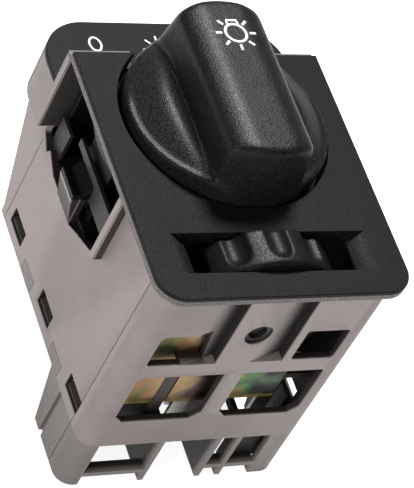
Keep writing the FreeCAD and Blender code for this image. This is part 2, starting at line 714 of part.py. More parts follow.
# Rear base: the grey terminal carrier that snaps into the open end. Its plate carries hooks
# and tabs, and below it stands the connector skirt with its feet, cross bars and partitions.

def base_walls(body):
    plate = rectangle(-base_side, base_side, inner_front + s.fit_gap, s.rear_height - s.wall - s.fit_gap)
    pad(body, "plate", "XY", root, base_top, [(plate, {i: inner_round for i in range(4)})])
    skirt = [(front, -s.body_depth), (s.base_reach - s.base_taper, -s.body_depth),
             (s.base_reach, root), (front, root)]
    pad(body, "skirt", "YZ", -side, side, [skirt])

    def long_front_corner(edge):
        middle = edge.CenterOfMass
        along = edge.tangentAt(edge.FirstParameter)
        return abs(along.z) > 0.99 and middle.z < root.value and middle.y < front.value + 0.1

    rounded_edges(body, "corners", long_front_corner, s.housing_round)


def base_sockets(body):
    """Four sockets between the partitions, with doors in the front wall above and below a bar."""
    low = front + s.wall
    back = s.base_reach + s.partition
    walls = [s.first_partition, s.second_partition, s.third_partition]
    left = [-inner_side] + [wall + s.partition for wall in walls]
    right = walls + [inner_side]
    corners = [{0: inner_round}, {}, {}, {1: inner_round}]
    pocket(body, "sockets", "XY", -s.body_depth, base_top,
           [(rectangle(a, b, low, back), rounds) for a, b, rounds in zip(left, right, corners)])
    bar_back = low + s.partition
    pocket(body, "third_partition_end", "XY", -s.body_depth, root,
           [rectangle(right[2], left[3], bar_back, back)])
    pad(body, "socket_wall", "XY", -s.body_depth + s.foot_height, root,
        [rectangle(left[3] - s.partition / 2, side, bar_back, bar_back + s.partition)])
    feet = -s.body_depth
    left[0] = -side + s.foot_width
    right[3] = side - s.foot_width - s.wide_foot
    doors = []
    for i, (a, b) in enumerate(zip(left, right)):
        if i == 1:
            doors.append(rectangle(a, b, feet, root))
        else:
            doors.append(rectangle(a, b, bar_low, root))
            doors.append(rectangle(a, b, feet, bar_low - s.bar_height))
    pocket(body, "doors", "XZ", front, low, doors)
    pad(body, "deep_bars", "XY", bar_low - s.bar_height, bar_low,
        [rectangle(a, b, low, bar_back) for i, (a, b) in enumerate(zip(left, right)) if i != 1])


def base_fastenings(body):
    """Slot, corner line, two tabs and three hooks on each side."""
    low_slot = s.base_reach - s.side_slot_place
    slot = pocket(body, "side_slot", "YZ", -side, -side + s.wall / 2,
                  [rectangle(low_slot, low_slot + s.side_slot_width, -s.body_depth, root)])
    line = pocket(body, "corner_line", "YZ", -side, -side + s.line_width,
                  [rectangle(corner_line, corner_line + s.line_width, -s.body_depth, root)])
    gap = s.fit_gap
    reach = s.notch_width / 2 - gap
    tab = pad(body, "tab", "XY", root, root + s.notch_height - gap,
              [rectangle(-side, -base_side + s.wall, notch_first - reach, notch_first + reach)])
    second = notch_first + s.hook_pitch
    tab_2 = pad(body, "second_tab", "XY", root, root + s.notch_height - gap,
                [rectangle(-side, -base_side + s.wall, second - reach, second + reach)])
    arm = [(-base_side, root), (-base_side + s.partition, root),
           (-base_side + s.partition, hook_low + s.hook_reach), (-base_side, hook_low + s.hook_reach),
           (-side + s.wall / 3, hook_low + s.hook_reach / 2), (-side + s.wall / 3, hook_low + gap),
           (-base_side, hook_low + gap)]
    half = s.hook_width / 2 - 2 * gap
    hooks = [pad(body, "first_hook_root", "XZ", s.hook_first - half, s.hook_first + half,
                 [rectangle(-inner_side, -base_side + s.partition, root - s.base_plate, root)])]
    for i in range(3):
        middle = s.hook_first + s.hook_pitch * i
        hooks.append(pad(body, f"hook_{i + 1}", "XZ", middle - half, middle + half, [arm]))
    mirrored(body, "right_side", [slot, line, tab, tab_2] + hooks)


def rear_base():
    body = new_body("rear_base")
    base_walls(body)
    base_sockets(body)
    base_fastenings(body)


# Mechanism carrier: the black block that guides the selector shaft and both side latches.

def mechanism_carrier():
    body = new_body("mechanism_carrier")
    bottom = carrier_under
    block_high = s.plate_height - s.run_gap
    pad(body, "block", "XY", bottom, -s.carrier_top,
        [rectangle(-carrier_side, carrier_side, s.carrier_low, block_high)])
    pad(body, "seat", "XY", bottom, bottom + s.base_plate,
        [rectangle(-inner_side, inner_side, s.carrier_low, guide_high - s.run_gap)])
    gap = s.run_gap
    slot = pocket(body, "latch_slot", "XZ", latch_low - gap, latch_high + gap,
                  [rectangle(-carrier_side, -spring_seat, latch_under - gap, gap - s.latch_top)])
    inner = -carrier_side + s.hollow_depth
    rooms = pocket(body, "hollows", "XY", bottom + s.base_plate, -s.carrier_top, [
        rectangle(-carrier_side, inner, latch_high + s.wall, block_high - s.wall),
        rectangle(-carrier_side, inner, s.carrier_low + s.wall, latch_low - s.wall)])
    mirrored(body, "right_latch_slot", [slot, rooms])
    pocket(body, "shaft_bore", "XY", bottom, -s.carrier_top,
           circles=[(0, s.knob_row, s.shaft_radius + s.bearing_gap)])


# Side latches: sliding catches, each with a flat ledge, and a slope above it.

def side_latch(name, direction):
    """One latch, on the left with direction -1 and on the right with direction 1."""
    body = new_body(name)
    tip = half_plate - s.run_gap
    outline = [
        (latch_tail, latch_under), (inner_side - s.run_gap, latch_under),
        (inner_side - s.run_gap, nose_under), (tip, nose_under), (tip, ledge), (tip - s.ledge_reach, ledge),
        (carrier_side + s.latch_slope, -s.latch_top), (latch_tail, -s.latch_top)]
    if direction < 0:
        outline = [(-x, z) for x, z in reversed(outline)]
    pad(body, "catch", "XZ", latch_low, latch_high, [outline])


def latch_spring(name, direction):
    """Compression spring between a latch and the carrier: round wire swept along a helix.

    Both springs lie the same way, so the left one starts at its latch and the right one at the
    carrier. Its path comes in quarter turns, which keeps each swept face short.
    """
    wire = s.spring_wire / 2
    outer = latch_tail - wire - s.bearing_gap
    inner = spring_seat + wire + s.bearing_gap
    coil = doc.addObject("Part::Helix", name + "_path")
    bind(coil, "Radius", s.spring_radius)
    bind(coil, "Height", outer - inner)
    bind(coil, "Pitch", (outer - inner) / s.spring_turns)
    coil.SegmentLength = 0.25
    ring = doc.addObject("Part::Circle", name + "_wire")
    bind(ring, "Radius", wire)
    ring.Placement = FreeCAD.Placement(FreeCAD.Vector(0, 0, 0), upright)
    bind(ring, "Placement.Base.x", s.spring_radius)
    swept = doc.addObject("Part::Sweep", name)
    swept.Sections = [ring]
    doc.recompute()
    swept.Spine = (coil, [f"Edge{i + 1}" for i in range(len(coil.Shape.Edges))])
    swept.Solid = True
    swept.Frenet = True
    swept.Label = name
    swept.Placement = FreeCAD.Placement(
        FreeCAD.Vector(0, 0, 0), FreeCAD.Rotation(FreeCAD.Vector(0, 1, 0), 90))
    place(swept, s.knob_row, -(s.latch_top + s.latch_height / 2))
    bind(swept, "Placement.Base.x", inner if direction > 0 else -outer)


# Knob: a shallow cone with a crowned grip across it and a finger scoop on each side of the grip.

def free_sketch(name, outline, rounds):
    """An upright sketch in the XZ plane that belongs to no body."""
    sketch = doc.addObject("Sketcher::SketchObject", name)
    sketch.Placement = FreeCAD.Placement(FreeCAD.Vector(0, 0, 0), upright)
    draw_outline(sketch, outline, rounds)
    return sketch


def revolved(name, outline, rounds):
    """A solid turned about the knob's axis."""
    solid = doc.addObject("Part::Revolution", name)
    solid.Source = free_sketch(name + "_sketch", outline, rounds)
    solid.Axis = FreeCAD.Vector(0, 0, 1)
    solid.Angle = 360
    solid.Solid = True
    return solid


def cylinder(name, radius, low, high):
    """An upright cylinder between two heights."""
    solid = doc.addObject("Part::Cylinder", name)
    bind(solid, "Radius", radius)
    bind(solid, "Height", as_size(high) - low)
    bind(solid, "Placement.Base.z", low)
    return solid


def fused(name, pieces):
    joined = doc.addObject("Part::MultiFuse", name)
    joined.Shapes = pieces
    return joined


def cut_by(name, base, tool):
    result = doc.addObject("Part::Cut", name)
    result.Base = base
    result.Tool = tool
    return result


def knob_outside(bottom, half):
    """Dished cone and crowned grip, before the inside is hollowed."""
    dome = revolved("knob_cone", [
        (0, bottom), (knob_radius, bottom), (knob_radius, s.knob_rim),
        (s.cone_radius, s.knob_dome), (0, s.knob_dome)], {2: s.grip_round / 2})
    scoops = []
    for tag, direction in (("left", -1), ("right", 1)):
        scoop = doc.addObject("Part::Cylinder", tag + "_scoop")
        bind(scoop, "Radius", s.scoop_radius)
        bind(scoop, "Height", knob_radius * 2)
        scoop.Placement = FreeCAD.Placement(FreeCAD.Vector(0, 0, 0), upright)
        bind(scoop, "Placement.Base.x", scoop_side * direction)
        bind(scoop, "Placement.Base.y", knob_radius)
        bind(scoop, "Placement.Base.z", s.scoop_height)
        scoops.append(scoop)
    dished = cut_by("knob_dish", dome, fused("scoops", scoops))
    ends = revolved("grip_ends", [
        (0, bottom), (knob_radius, bottom), (knob_radius, s.knob_rim),
        (knob_radius - s.grip_lean, s.knob_top), (0, s.knob_top)], {3: s.grip_end_round})
    bar = doc.addObject("Part::Extrusion", "grip_bar")
    shoulder = s.knob_top - s.grip_crown / 4
    bar.Base = free_sketch("grip_bar_sketch", [
        (-half - s.grip_lean / 2, bottom), (half + s.grip_lean / 2, bottom), (half, grip_edge),
        (half / 2, shoulder), (0, s.knob_top), (-half / 2, shoulder), (-half, grip_edge)],
        {2: s.grip_round, 3: s.grip_width, 5: s.grip_width, 6: s.grip_round})
    bar.DirMode = "Custom"
    bar.Dir = FreeCAD.Vector(0, 1, 0)
    bar.Solid = True
    bind(bar, "LengthFwd", knob_radius)
    bind(bar, "LengthRev", knob_radius)
    crossed = doc.addObject("Part::MultiCommon", "grip")
    crossed.Shapes = [bar, ends]
    return fused("knob_outside", [dished, crossed])


def knob_inside(bottom, half):
    """The space under the skirt and the grip, and the shaft's hole."""
    under = s.knob_rim - s.knob_wall
    skirt_space = cut_by("skirt_space", cylinder("skirt_drum", knob_radius - s.knob_wall, bottom, under),
                         cylinder("hub_low", s.hub_radius, bottom, under))
    box = doc.addObject("Part::Box", "grip_box")
    side_reach = half - s.knob_wall - s.grip_round / 2
    end_reach = knob_radius - s.knob_wall - s.grip_end_round
    bind(box, "Length", side_reach * 2)
    bind(box, "Width", end_reach * 2)
    bind(box, "Height", grip_edge - s.knob_wall - bottom)
    bind(box, "Placement.Base.x", -side_reach)
    bind(box, "Placement.Base.y", -end_reach)
    bind(box, "Placement.Base.z", bottom)
    grip_space = cut_by("grip_space", box, cylinder("hub_high", s.hub_radius, bottom, s.knob_top))
    hole = cylinder("shaft_hole", s.shaft_radius + s.bearing_gap, bottom, s.knob_dome)
    return fused("knob_spaces", [skirt_space, grip_space, hole])


def knob():
    bottom = -s.knob_skirt
    half = s.grip_width / 2
    hub_end = bottom - s.hub_drop
    hub = cut_by("hub_ring", cylinder("hub_end", s.hub_radius, hub_end, bottom),
                 cylinder("hub_hole", s.shaft_radius + s.bearing_gap, hub_end, bottom))
    hollow = cut_by("knob_hollow", knob_outside(bottom, half), knob_inside(bottom, half))
    piece = fused("knob", [hollow, hub])
    piece.Label = "knob"
    place(piece, s.knob_row)


# Selector shaft with its retaining ring, the contact rotor and the detent spring.

def selector_shaft():
    body = new_body("selector_shaft", s.knob_row)
    pad(body, "shaft", "XY", rotor_under - s.shaft_tail, s.knob_dome - s.bearing_gap,
        circles=[(0, 0, s.shaft_radius)])
    pocket(body, "ring_groove", "XY", ring_low - s.bearing_gap, ring_low + s.ring_thickness + s.bearing_gap,
           circles=[(0, 0, s.shaft_radius), (0, 0, s.shaft_radius - s.ring_bite)])


def shaft_retaining_ring():
    body = new_body("shaft_retaining_ring", s.knob_row)
    outer = s.shaft_radius + s.ring_width
    pad(body, "ring", "XY", ring_low, ring_low + s.ring_thickness,
        circles=[(0, 0, outer), (0, 0, s.shaft_radius - s.ring_bite + s.bearing_gap)])
    pocket(body, "opening", "XY", ring_low, ring_low + s.ring_thickness,
           [rectangle(-s.ring_width, s.ring_width, 0, outer)])


def contact_rotor():
    body = new_body("contact_rotor", s.knob_row)
    bore = s.shaft_radius + s.bearing_gap
    pad(body, "disc", "XY", rotor_under, rotor_top, circles=[(0, 0, s.rotor_radius), (0, 0, bore)])
    pad(body, "hub", "XY", rotor_top, ring_low - s.run_gap,
        circles=[(0, 0, s.hub_radius), (0, 0, bore)])
    reach = s.rotor_radius + s.detent_nose / 2
    notches = []
    for turn in (-1, 0, 1):
        angle = math.radians(90 + turn * s.detent_angle.value)
        notches.append((reach * math.cos(angle), reach * math.sin(angle), s.detent_nose))
    pocket(body, "detent_notches", "XY", rotor_under, rotor_top, circles=notches)


def detent_spring():
    body = new_body("detent_spring")
    near = s.knob_row + s.rotor_radius + s.run_gap
    leaf = near + s.detent_nose / 2
    middle = rotor_under + s.rotor_thickness / 2
    outline = [(leaf, rotor_under), (leaf, middle - s.detent_nose / 2), (near, middle),
               (leaf, middle + s.detent_nose / 2), (leaf, carrier_under),
               (leaf + s.spring_wire, carrier_under), (leaf + s.spring_wire, rotor_under)]
    pad(body, "leaf", "YZ", -s.hub_radius, s.hub_radius, [outline])


# Contacts: a copper bridge under the rotor, and the fixed contacts that it joins on the board.

def ring_sector(body, name, low, high, middle, sweep):
    """A sector of the contact track about the body's own axis, with its middle and sweep in degrees."""
    sketch = new_sketch(body, name + "_sketch", "XY", low)
    radii = [s.contact_radius - s.contact_width / 2, s.contact_radius + s.contact_width / 2]
    a, b = math.radians(middle - sweep / 2), math.radians(middle + sweep / 2)
    centre = FreeCAD.Vector(0, 0, 0)
    arcs = [Part.ArcOfCircle(Part.Circle(centre, FreeCAD.Vector(0, 0, 1), r.value), a, b) for r in radii]
    bends = [sketch.addGeometry(arc, False) for arc in arcs]
    for end, spots in ((1, [arc.StartPoint for arc in arcs]), (2, [arc.EndPoint for arc in arcs])):
        line = sketch.addGeometry(Part.LineSegment(*spots), False)
        sketch.addConstraint(Sketcher.Constraint("Coincident", bends[0], end, line, 1))
        sketch.addConstraint(Sketcher.Constraint("Coincident", bends[1], end, line, 2))
        sketch.addConstraint(Sketcher.Constraint("Angle", line, math.atan2(
            spots[1].y - spots[0].y, spots[1].x - spots[0].x)))
    for bend, radius in zip(bends, radii):
        sketch.addConstraint(Sketcher.Constraint("Coincident", bend, 3, -1, 1))
        held = sketch.addConstraint(Sketcher.Constraint("Radius", bend, radius.value))
        bind(sketch, f"Constraints[{held}]", radius)
    doc.recompute()
    feature = body.newObject("PartDesign::Pad", name)
    feature.Profile = sketch
    bind(feature, "Length", as_size(high) - low)
    doc.recompute()


def contacts():
    moving = new_body("moving_contact", s.knob_row)
    bridge_under = rotor_under - s.contact_height / 2
    spacing = s.contact_spacing.value
    ring_sector(moving, "bridge", bridge_under, rotor_under, 270, 2 * (spacing + s.bridge_overrun.value))
    for i in (-1, 0, 1):
        turn = math.radians(270 + i * spacing)
        spot = (s.contact_radius * math.cos(turn), s.contact_radius * math.sin(turn), s.contact_width / 3)
        pad(moving, f"button_{i + 2}", "XY", rotor_under - s.contact_height, bridge_under, circles=[spot])
        fixed = new_body(f"fixed_contact_{i + 2}", s.knob_row)
        ring_sector(fixed, "track", board_top, track_top, 270 + i * spacing, s.contact_sweep.value)


# Contact board, with a post in the heat plate's slot, and the terminal blades below it.

def contact_board():
    body = new_body("contact_board")
    pad(body, "board", "XY", board_under, board_top,
        [rectangle(-inner_side, inner_side, s.board_low, s.plate_height)])
    gap = s.run_gap
    pad(body, "sheet_post", "XY", base_top, slot_top - gap,
        [rectangle(slot_left + gap, slot_right - gap, s.heat_plate_place, s.board_low + s.wall)])


def terminal_blades():
    half = s.blade_width / 2
    tip = -s.blade_end
    cut = s.blade_thickness
    step = s.blade_step
    first = (s.first_partition - inner_side) / 2
    second = (s.first_partition + s.partition + s.second_partition) / 2
    last = (s.third_partition + s.partition + inner_side) / 2
    rows = [(s.blade_row, (first - step, first + step, second, last + step / 2)),
            (s.blade_row + s.blade_pitch, (first, second - step, second + step, last - step / 2))]
    number = 0
    for row, middles in rows:
        for x in middles:
            number += 1
            body = new_body(f"terminal_blade_{number}")
            outline = [(x - half + cut, tip), (x + half - cut, tip), (x + half, tip + 2 * cut),
                       (x + half, board_under), (x - half, board_under), (x - half, tip + 2 * cut)]
            pad(body, "blade", "XZ", row, row + s.blade_thickness, [outline])


# Dimmer: scalloped thumbwheel on an axle, wiper, resistor and the plated heat plate.

def dimmer_thumbwheel():
    body = new_body("dimmer_thumbwheel", 0, -wheel_depth)
    rim = s.wheel_radius - s.wheel_rim
    hub = s.axle_radius * 2
    web_low = (wheel_low + wheel_high - s.wheel_web) / 2
    pad(body, "wheel", "XZ", wheel_low, wheel_high, circles=[(0, 0, s.wheel_radius)])
    rounded_edges(body, "rim_rounding", lambda edge: isinstance(edge.Curve, Part.Circle), s.wheel_round)
    for name, low, high in (("front_room", wheel_low, web_low),
                            ("rear_room", web_low + s.wheel_web, wheel_high)):
        pocket(body, name, "XZ", low, high, circles=[(0, 0, rim), (0, 0, hub)])
    reach = s.wheel_radius + s.scallop_radius - s.scallop_depth
    scallop = pocket(body, "scallop", "XZ", wheel_low + s.wheel_round, wheel_high,
                     circles=[(0, reach, s.scallop_radius)])
    around = body.newObject("PartDesign::PolarPattern", "scallops")
    around.Originals = [scallop]
    around.Axis = (plane_of(body, "Y_Axis"), [""])
    around.Angle = 360
    around.Occurrences = int(s.wheel_scallops.value)
    bind(around, "Occurrences", s.wheel_scallops)
    body.Tip = around
    doc.recompute()
    pocket(body, "axle_bore", "XZ", wheel_low, wheel_high, circles=[(0, 0, s.axle_radius)])


def dimmer_axle():
    body = new_body("dimmer_axle", 0, -wheel_depth)
    pad(body, "axle", "XZ", front + s.wall, bearing_back - s.wall / 4, circles=[(0, 0, s.axle_radius)])


def dimmer_wiper():
    body = new_body("dimmer_wiper", 0, -wheel_depth)
    low = wheel_high
    arm = [(-s.wiper_width / 2, s.axle_radius), (s.wiper_width / 2, s.axle_radius),
           (s.wiper_width / 2, s.track_radius), (-s.wiper_width / 2, s.track_radius)]
    pad(body, "eye", "XZ", low, low + s.wiper_thickness,
        circles=[(0, 0, s.axle_radius * 2), (0, 0, s.axle_radius)])
    pad(body, "arm", "XZ", low, low + s.wiper_thickness, [arm])


def dimmer_resistor():
    """Arc of resistance wire on its strip, on the bearing wall behind the wiper."""
    body = new_body("dimmer_resistor", 0, -wheel_depth)
    near = wheel_high + s.wiper_thickness + s.run_gap
    inner, outer = s.track_radius - s.track_width / 2, s.track_radius + s.track_width / 2
    pad(body, "ring", "XZ", near, s.bearing_wall_place, circles=[(0, 0, outer), (0, 0, inner)])
    pocket(body, "lower_half", "XZ", near, s.bearing_wall_place,
           [rectangle(-outer, outer, -outer, s.track_radius / 2)])


# Heat plate: a plated sheet behind the windows, with a tab and a foot bent to the board.

def dimmer_heat_plate():
    body = new_body("dimmer_heat_plate")
    near = s.heat_plate_place
    far = near + s.heat_plate_thickness
    left = -base_side
    low, top, tab = board_under - s.heat_plate_drop, -s.heat_plate_top, -s.heat_plate_tab
    pad(body, "sheet", "XZ", near, far, [[
        (left, low), (s.heat_plate_right, low), (s.heat_plate_right, top),
        (-s.tab_right, top), (-s.tab_right, tab), (left, tab)]])
    pocket(body, "slot", "XZ", near, far, [rectangle(slot_left, slot_right, low, slot_top)])
    foot = board_under + (s.board_thickness - s.heat_plate_thickness) / 2
    pad(body, "foot", "XY", foot, foot + s.heat_plate_thickness,
        [rectangle(-s.heat_plate_right, s.heat_plate_right, far, s.board_low)])


# Symbol lamp: a small glass bulb in a holder that plugs into the light box from the rear.

def symbol_lamp():
    bulb = new_body("symbol_bulb", bulb_row)
    seat = -(s.symbol_block_depth + s.wall)
    radius = s.bulb_radius
    outline = [(0, seat), (radius, seat), (radius, -s.bulb_top), (0, -s.bulb_top)]
    turned(bulb, "glass", outline, {2: radius * 0.8})
    holder = new_body("bulb_holder", bulb_row)
    bore = radius + s.bearing_gap
    flange = -s.symbol_block_depth
    lip = s.holder_lip
    outline = [
        (0, -s.holder_end), (s.holder_radius - lip, -s.holder_end), (s.holder_radius - lip, seat),
        (s.holder_radius + lip, seat), (s.holder_radius + lip, flange), (s.holder_radius, flange),
        (s.holder_radius, box_floor), (bore, box_floor), (bore, seat), (0, seat)]
    turned(holder, "socket", outline)


front_bezel()
symbol_strip()
housing()
rear_base()
mechanism_carrier()
contact_board()
contacts()
terminal_blades()
dimmer_heat_plate()
dimmer_resistor()
detent_spring()
symbol_lamp()
for hand, direction in (("left", -1), ("right", 1)):
    side_latch(hand + "_latch", direction)
    latch_spring(hand + "_latch_spring", direction)
knob()
selector_shaft()
shaft_retaining_ring()
contact_rotor()
dimmer_thumbwheel()
dimmer_axle()
dimmer_wiper()
doc.recompute()

for thing in doc.Objects:
    if "Invalid" in thing.State or "Error" in thing.State:
        raise RuntimeError(f"{thing.Label} did not compute: {thing.State}")
os.makedirs("parts", exist_ok=True)
for piece in parts:
    if piece.Shape.isNull() or not piece.Shape.isValid():
        raise RuntimeError(f"{piece.Label} has no valid shape")
    piece.Shape.exportStep(f"parts/{piece.Label}.step")
    print(f"{piece.Label}: {piece.Shape.Volume:.1f} cubic mm")
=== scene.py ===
# %% [markdown]
# # A headlight switch for a dashboard
# The CAD model holds every piece of the switch at its true size and place, in metres and in one
# frame. This lesson dresses it: it rounds the moulded edges, grows the knob and the thumbwheel
# from rules, prints the symbols, and gives each piece a procedural finish.

import json
import math

import bmesh
import bpy
from mathutils import Matrix, Vector


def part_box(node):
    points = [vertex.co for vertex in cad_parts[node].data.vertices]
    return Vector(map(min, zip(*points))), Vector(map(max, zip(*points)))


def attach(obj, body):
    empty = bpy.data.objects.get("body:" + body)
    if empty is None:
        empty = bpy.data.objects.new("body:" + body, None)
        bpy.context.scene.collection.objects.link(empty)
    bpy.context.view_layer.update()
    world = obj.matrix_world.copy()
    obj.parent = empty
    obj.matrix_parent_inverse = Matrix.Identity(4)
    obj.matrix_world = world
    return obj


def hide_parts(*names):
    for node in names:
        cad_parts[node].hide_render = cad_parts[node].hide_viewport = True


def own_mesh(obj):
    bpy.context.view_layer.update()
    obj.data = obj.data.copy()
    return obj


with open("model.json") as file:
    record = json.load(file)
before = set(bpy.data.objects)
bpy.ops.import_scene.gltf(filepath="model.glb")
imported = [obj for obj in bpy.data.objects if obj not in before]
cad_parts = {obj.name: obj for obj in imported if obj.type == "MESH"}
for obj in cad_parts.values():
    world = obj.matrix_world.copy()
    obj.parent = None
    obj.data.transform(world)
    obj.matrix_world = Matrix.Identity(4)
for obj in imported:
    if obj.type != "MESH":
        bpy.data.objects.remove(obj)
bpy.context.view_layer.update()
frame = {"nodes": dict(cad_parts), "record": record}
nodes = frame["nodes"]
bodies = frame["record"]["behaviour"]["bodies"]
body_of = {node: body for body, members in bodies.items() for node in members}
print("pieces from CAD:", len(nodes), "bodies:", sorted(bodies))

# %% [markdown]
# ## Lengths and colours
# Drawings give millimetres, and Blender works in metres, so one factor turns one into the other.
# A colour picked from a screen is in sRGB, and a shader wants linear light, so one helper
# turns a screen value from 0 to 255 into the value that a shader socket takes.

# %% Lengths and colours
MM = 0.001
PER_METRE = 1000  # millimetres in a metre
PLATE = 70  # height of the face plate's front surface above the floor, in millimetres
KNOB_ROW = 4.7  # knob axis along Y from the middle of the switch, in millimetres
FRONT = -38.7  # outer face of the housing's front wall along Y, in millimetres
SHELL_END = 14.8  # lower end of the housing above the floor, in millimetres
WHEEL_ROW = -29.9  # thumbwheel's middle along Y, in millimetres
WHEEL_AXIS = PLATE - 16.7  # thumbwheel's axis above the floor, in millimetres


def screen(red, green, blue):
    """A screen colour as the linear colour of a shader socket."""
    shares = [value / 255 for value in (red, green, blue)]
    linear = [((s + 0.055) / 1.055) ** 2.4 if s > 0.04 else s / 12.92 for s in shares]
    return (*linear, 1)


def shade(colour, factor):
    """The same colour, darker or paler."""
    return (*[min(c * factor, 1) for c in colour[:3]], 1)


print("face plate at", PLATE * MM, "m")

# %% [markdown]
# ## Node trees written as expressions
# Node trees can be drawn by hand in the editor, but a script can't be read as a drawing. Here a
# small class wraps the output of a node, so that `a * 2 + b` adds the Math nodes by itself, and
# one method adds any other node: its settings first, then its values and links. Shader trees and
# geometry trees share it, because both know the Math node.

# %% Values and graphs
def find(sockets, key):
    """A socket by its number, its identifier or its name."""
    if isinstance(key, int):
        return sockets[key]
    return next(s for s in sockets if key in (s.identifier, s.name) and s.enabled)


class Graph:
    """A node tree that the script fills."""

    def __init__(self, tree):
        self.tree = tree

    def add(self, kind, settings=None, values=(), output=0):
        """Any node: its settings first, then the values or links of its inputs."""
        node = self.tree.nodes.new(kind)
        for name, setting in (settings or {}).items():
            if name == "stops":
                set_stops(node.color_ramp.elements, setting)
            else:
                setattr(node, name, setting)
        pairs = values.items() if isinstance(values, dict) else enumerate(values)
        for key, value in pairs:
            self.feed(find(node.inputs, key), value)
        return Value(self, find(node.outputs, output))

    def feed(self, socket, value):
        """Link a value to a socket, or set a number there."""
        if isinstance(value, Value):
            self.tree.links.new(value.socket, socket)
        else:
            socket.default_value = value


class Value:
    """The output of a node, with arithmetic that adds Math nodes."""

    def __init__(self, graph, socket):
        self.graph = graph
        self.socket = socket

    def maths(self, operation, *others):
        return self.graph.add("ShaderNodeMath", {"operation": operation}, [self, *others])

    def __add__(self, other):
        return self.maths("ADD", other)

    def __sub__(self, other):
        return self.maths("SUBTRACT", other)

    def __mul__(self, other):
        return self.maths("MULTIPLY", other)

    def __truediv__(self, other):
        return self.maths("DIVIDE", other)

    def __rsub__(self, other):
        return self.graph.add("ShaderNodeMath", {"operation": "SUBTRACT"}, [other, self])

    def __abs__(self):
        return self.maths("ABSOLUTE")

    __radd__ = __add__
    __rmul__ = __mul__


def set_stops(elements, stops):
    """Put the stops of a colour ramp at their places."""
    while len(elements) < len(stops):
        elements.new(1)
    for element, (place, colour) in zip(elements, stops):
        element.position = place
        element.color = colour


print("nodes can be written as expressions")

# %% [markdown]
# ## Moulded plastic
# Almost every surface of the switch is injection-moulded plastic. What tells one moulding from
# another is its colour, its grain and its gloss: the face plate and the knob have a fine leather
# grain cut into the mould, the grey housing has a dull, slightly cloudy surface, and the symbol
# strip is smooth. Noise in object space gives all three, because it stays on the piece when it
# moves. Edges that hands and boxes rub are a little paler, which the pointiness of the mesh shows.
# The grey mouldings also take painted shade: a rule darkens their insides, steps and the gap
# under the plate by place.

# %% Finishes
def new_material(name, constants):
    """A material whose Principled shader has its constant values on its own sockets."""
    material = bpy.data.materials.new(name)
    material.use_nodes = True
    shader = material.node_tree.nodes["Principled BSDF"]
    for key, value in constants.items():
        shader.inputs[key].default_value = value
    return material, Graph(material.node_tree), shader


def on_piece(graph):
    """The place of a point on its own piece."""
    return graph.add("ShaderNodeTexCoord", {}, {}, "Object")


def cloud(graph, size, detail=3.0):
    """Soft noise from 0 to 1, whose lumps are about size millimetres across."""
    values = {"Vector": on_piece(graph), "Scale": 1 / (size * MM), "Detail": detail}
    return graph.add("ShaderNodeTexNoise", {}, values, "Fac")


def between(graph, value, low, high, new_low=0.0, new_high=1.0):
    """Map a value smoothly from one range to another."""
    return graph.add("ShaderNodeMapRange", {"interpolation_type": "SMOOTHSTEP"},
                     [value, low, high, new_low, new_high])


def under(graph, value, full, none):
    """1 where a value is below the first limit, and 0 above the second."""
    return between(graph, value, full, none, 1, 0)


def mixed_value(factor, first, second):
    """A number between two numbers."""
    return first + (second - first) * factor


def mixed(graph, factor, first, second):
    """A colour between two colours."""
    return graph.add("ShaderNodeMix", {"data_type": "RGBA"},
                     {"Factor_Float": factor, "A_Color": first, "B_Color": second}, "Result_Color")


def bumped(graph, height, depth):
    """A normal from a height between 0 and 1, with its depth in millimetres."""
    values = {"Strength": 1.0, "Distance": depth * MM, "Height": height}
    return graph.add("ShaderNodeBump", {}, values, "Normal")


PAINTED_SHADE_SHARE = 0.08  # share of its colour that a surface keeps under full painted shade
SPECK_SHADE = 4  # how much paler than the plastic a full speck is


def moulded(name, colour, roughness, grain, depth, mottle=0.08, speck=0.0, gloss=0.5,
            painted_shade=None, swing=0.06):
    """Injection-moulded plastic, with its grain size and depth in millimetres.

    The speck is how much paler the hills of the grain are than its pits, the swing is how far
    the roughness strays, and the shade rule returns how far painted shade darkens a point.
    """
    material, graph, shader = new_material(name, {"IOR": 1.5, "Specular IOR Level": gloss})
    flow = between(graph, cloud(graph, 7), 0.3, 0.7)
    body = mixed(graph, flow, shade(colour, 1 - mottle), shade(colour, 1 + mottle))
    pebbles = cloud(graph, grain, 1.0)
    hills = between(graph, pebbles, 0.36, 0.64)
    if speck:
        pale = shade(colour, SPECK_SHADE)
        body = mixed(graph, between(graph, hills, 0.3, 1, 0, speck), body, pale)
    pointed = graph.add("ShaderNodeNewGeometry", {}, {}, "Pointiness")
    rubbed = between(graph, pointed + cloud(graph, 1.2) * 0.02, 0.53, 0.6)
    body = mixed(graph, rubbed, body, shade(colour, 1.25))
    # painted shade: the colour is darkened where the shade rule says so
    if painted_shade:
        body = mixed(graph, painted_shade(graph), body, shade(colour, PAINTED_SHADE_SHARE))
    graph.feed(shader.inputs["Base Color"], body)
    dull = between(graph, pebbles, 0.3, 0.7, roughness - swing, roughness + swing)
    graph.feed(shader.inputs["Roughness"], dull)
    graph.feed(shader.inputs["Normal"], bumped(graph, hills, depth))
    return material


def axes(graph):
    """X, Y and Z of a point on its own piece, in millimetres."""
    place = on_piece(graph)
    return [graph.add("ShaderNodeSeparateXYZ", {}, [place], axis) * PER_METRE for axis in "XYZ"]


WALL_HALF = 22.4  # flat part of the front wall on each side of the middle
ROOM_DEPTH = 4.2  # from the front wall's outer face to the room behind it
RAMPS = (-10.2, 5.6)  # middles of the two ramped channels
RAMP_HALF = 4  # half the width of a channel
CHANNEL_END = PLATE - 26.2  # where both channels close
NOTCH = -7.2  # middle of the notch beside the left channel's end
TOP_RIB = 23  # face of the upper side ribs along Y
REAR_SEAM = 22.3  # line near the rear corners along Y


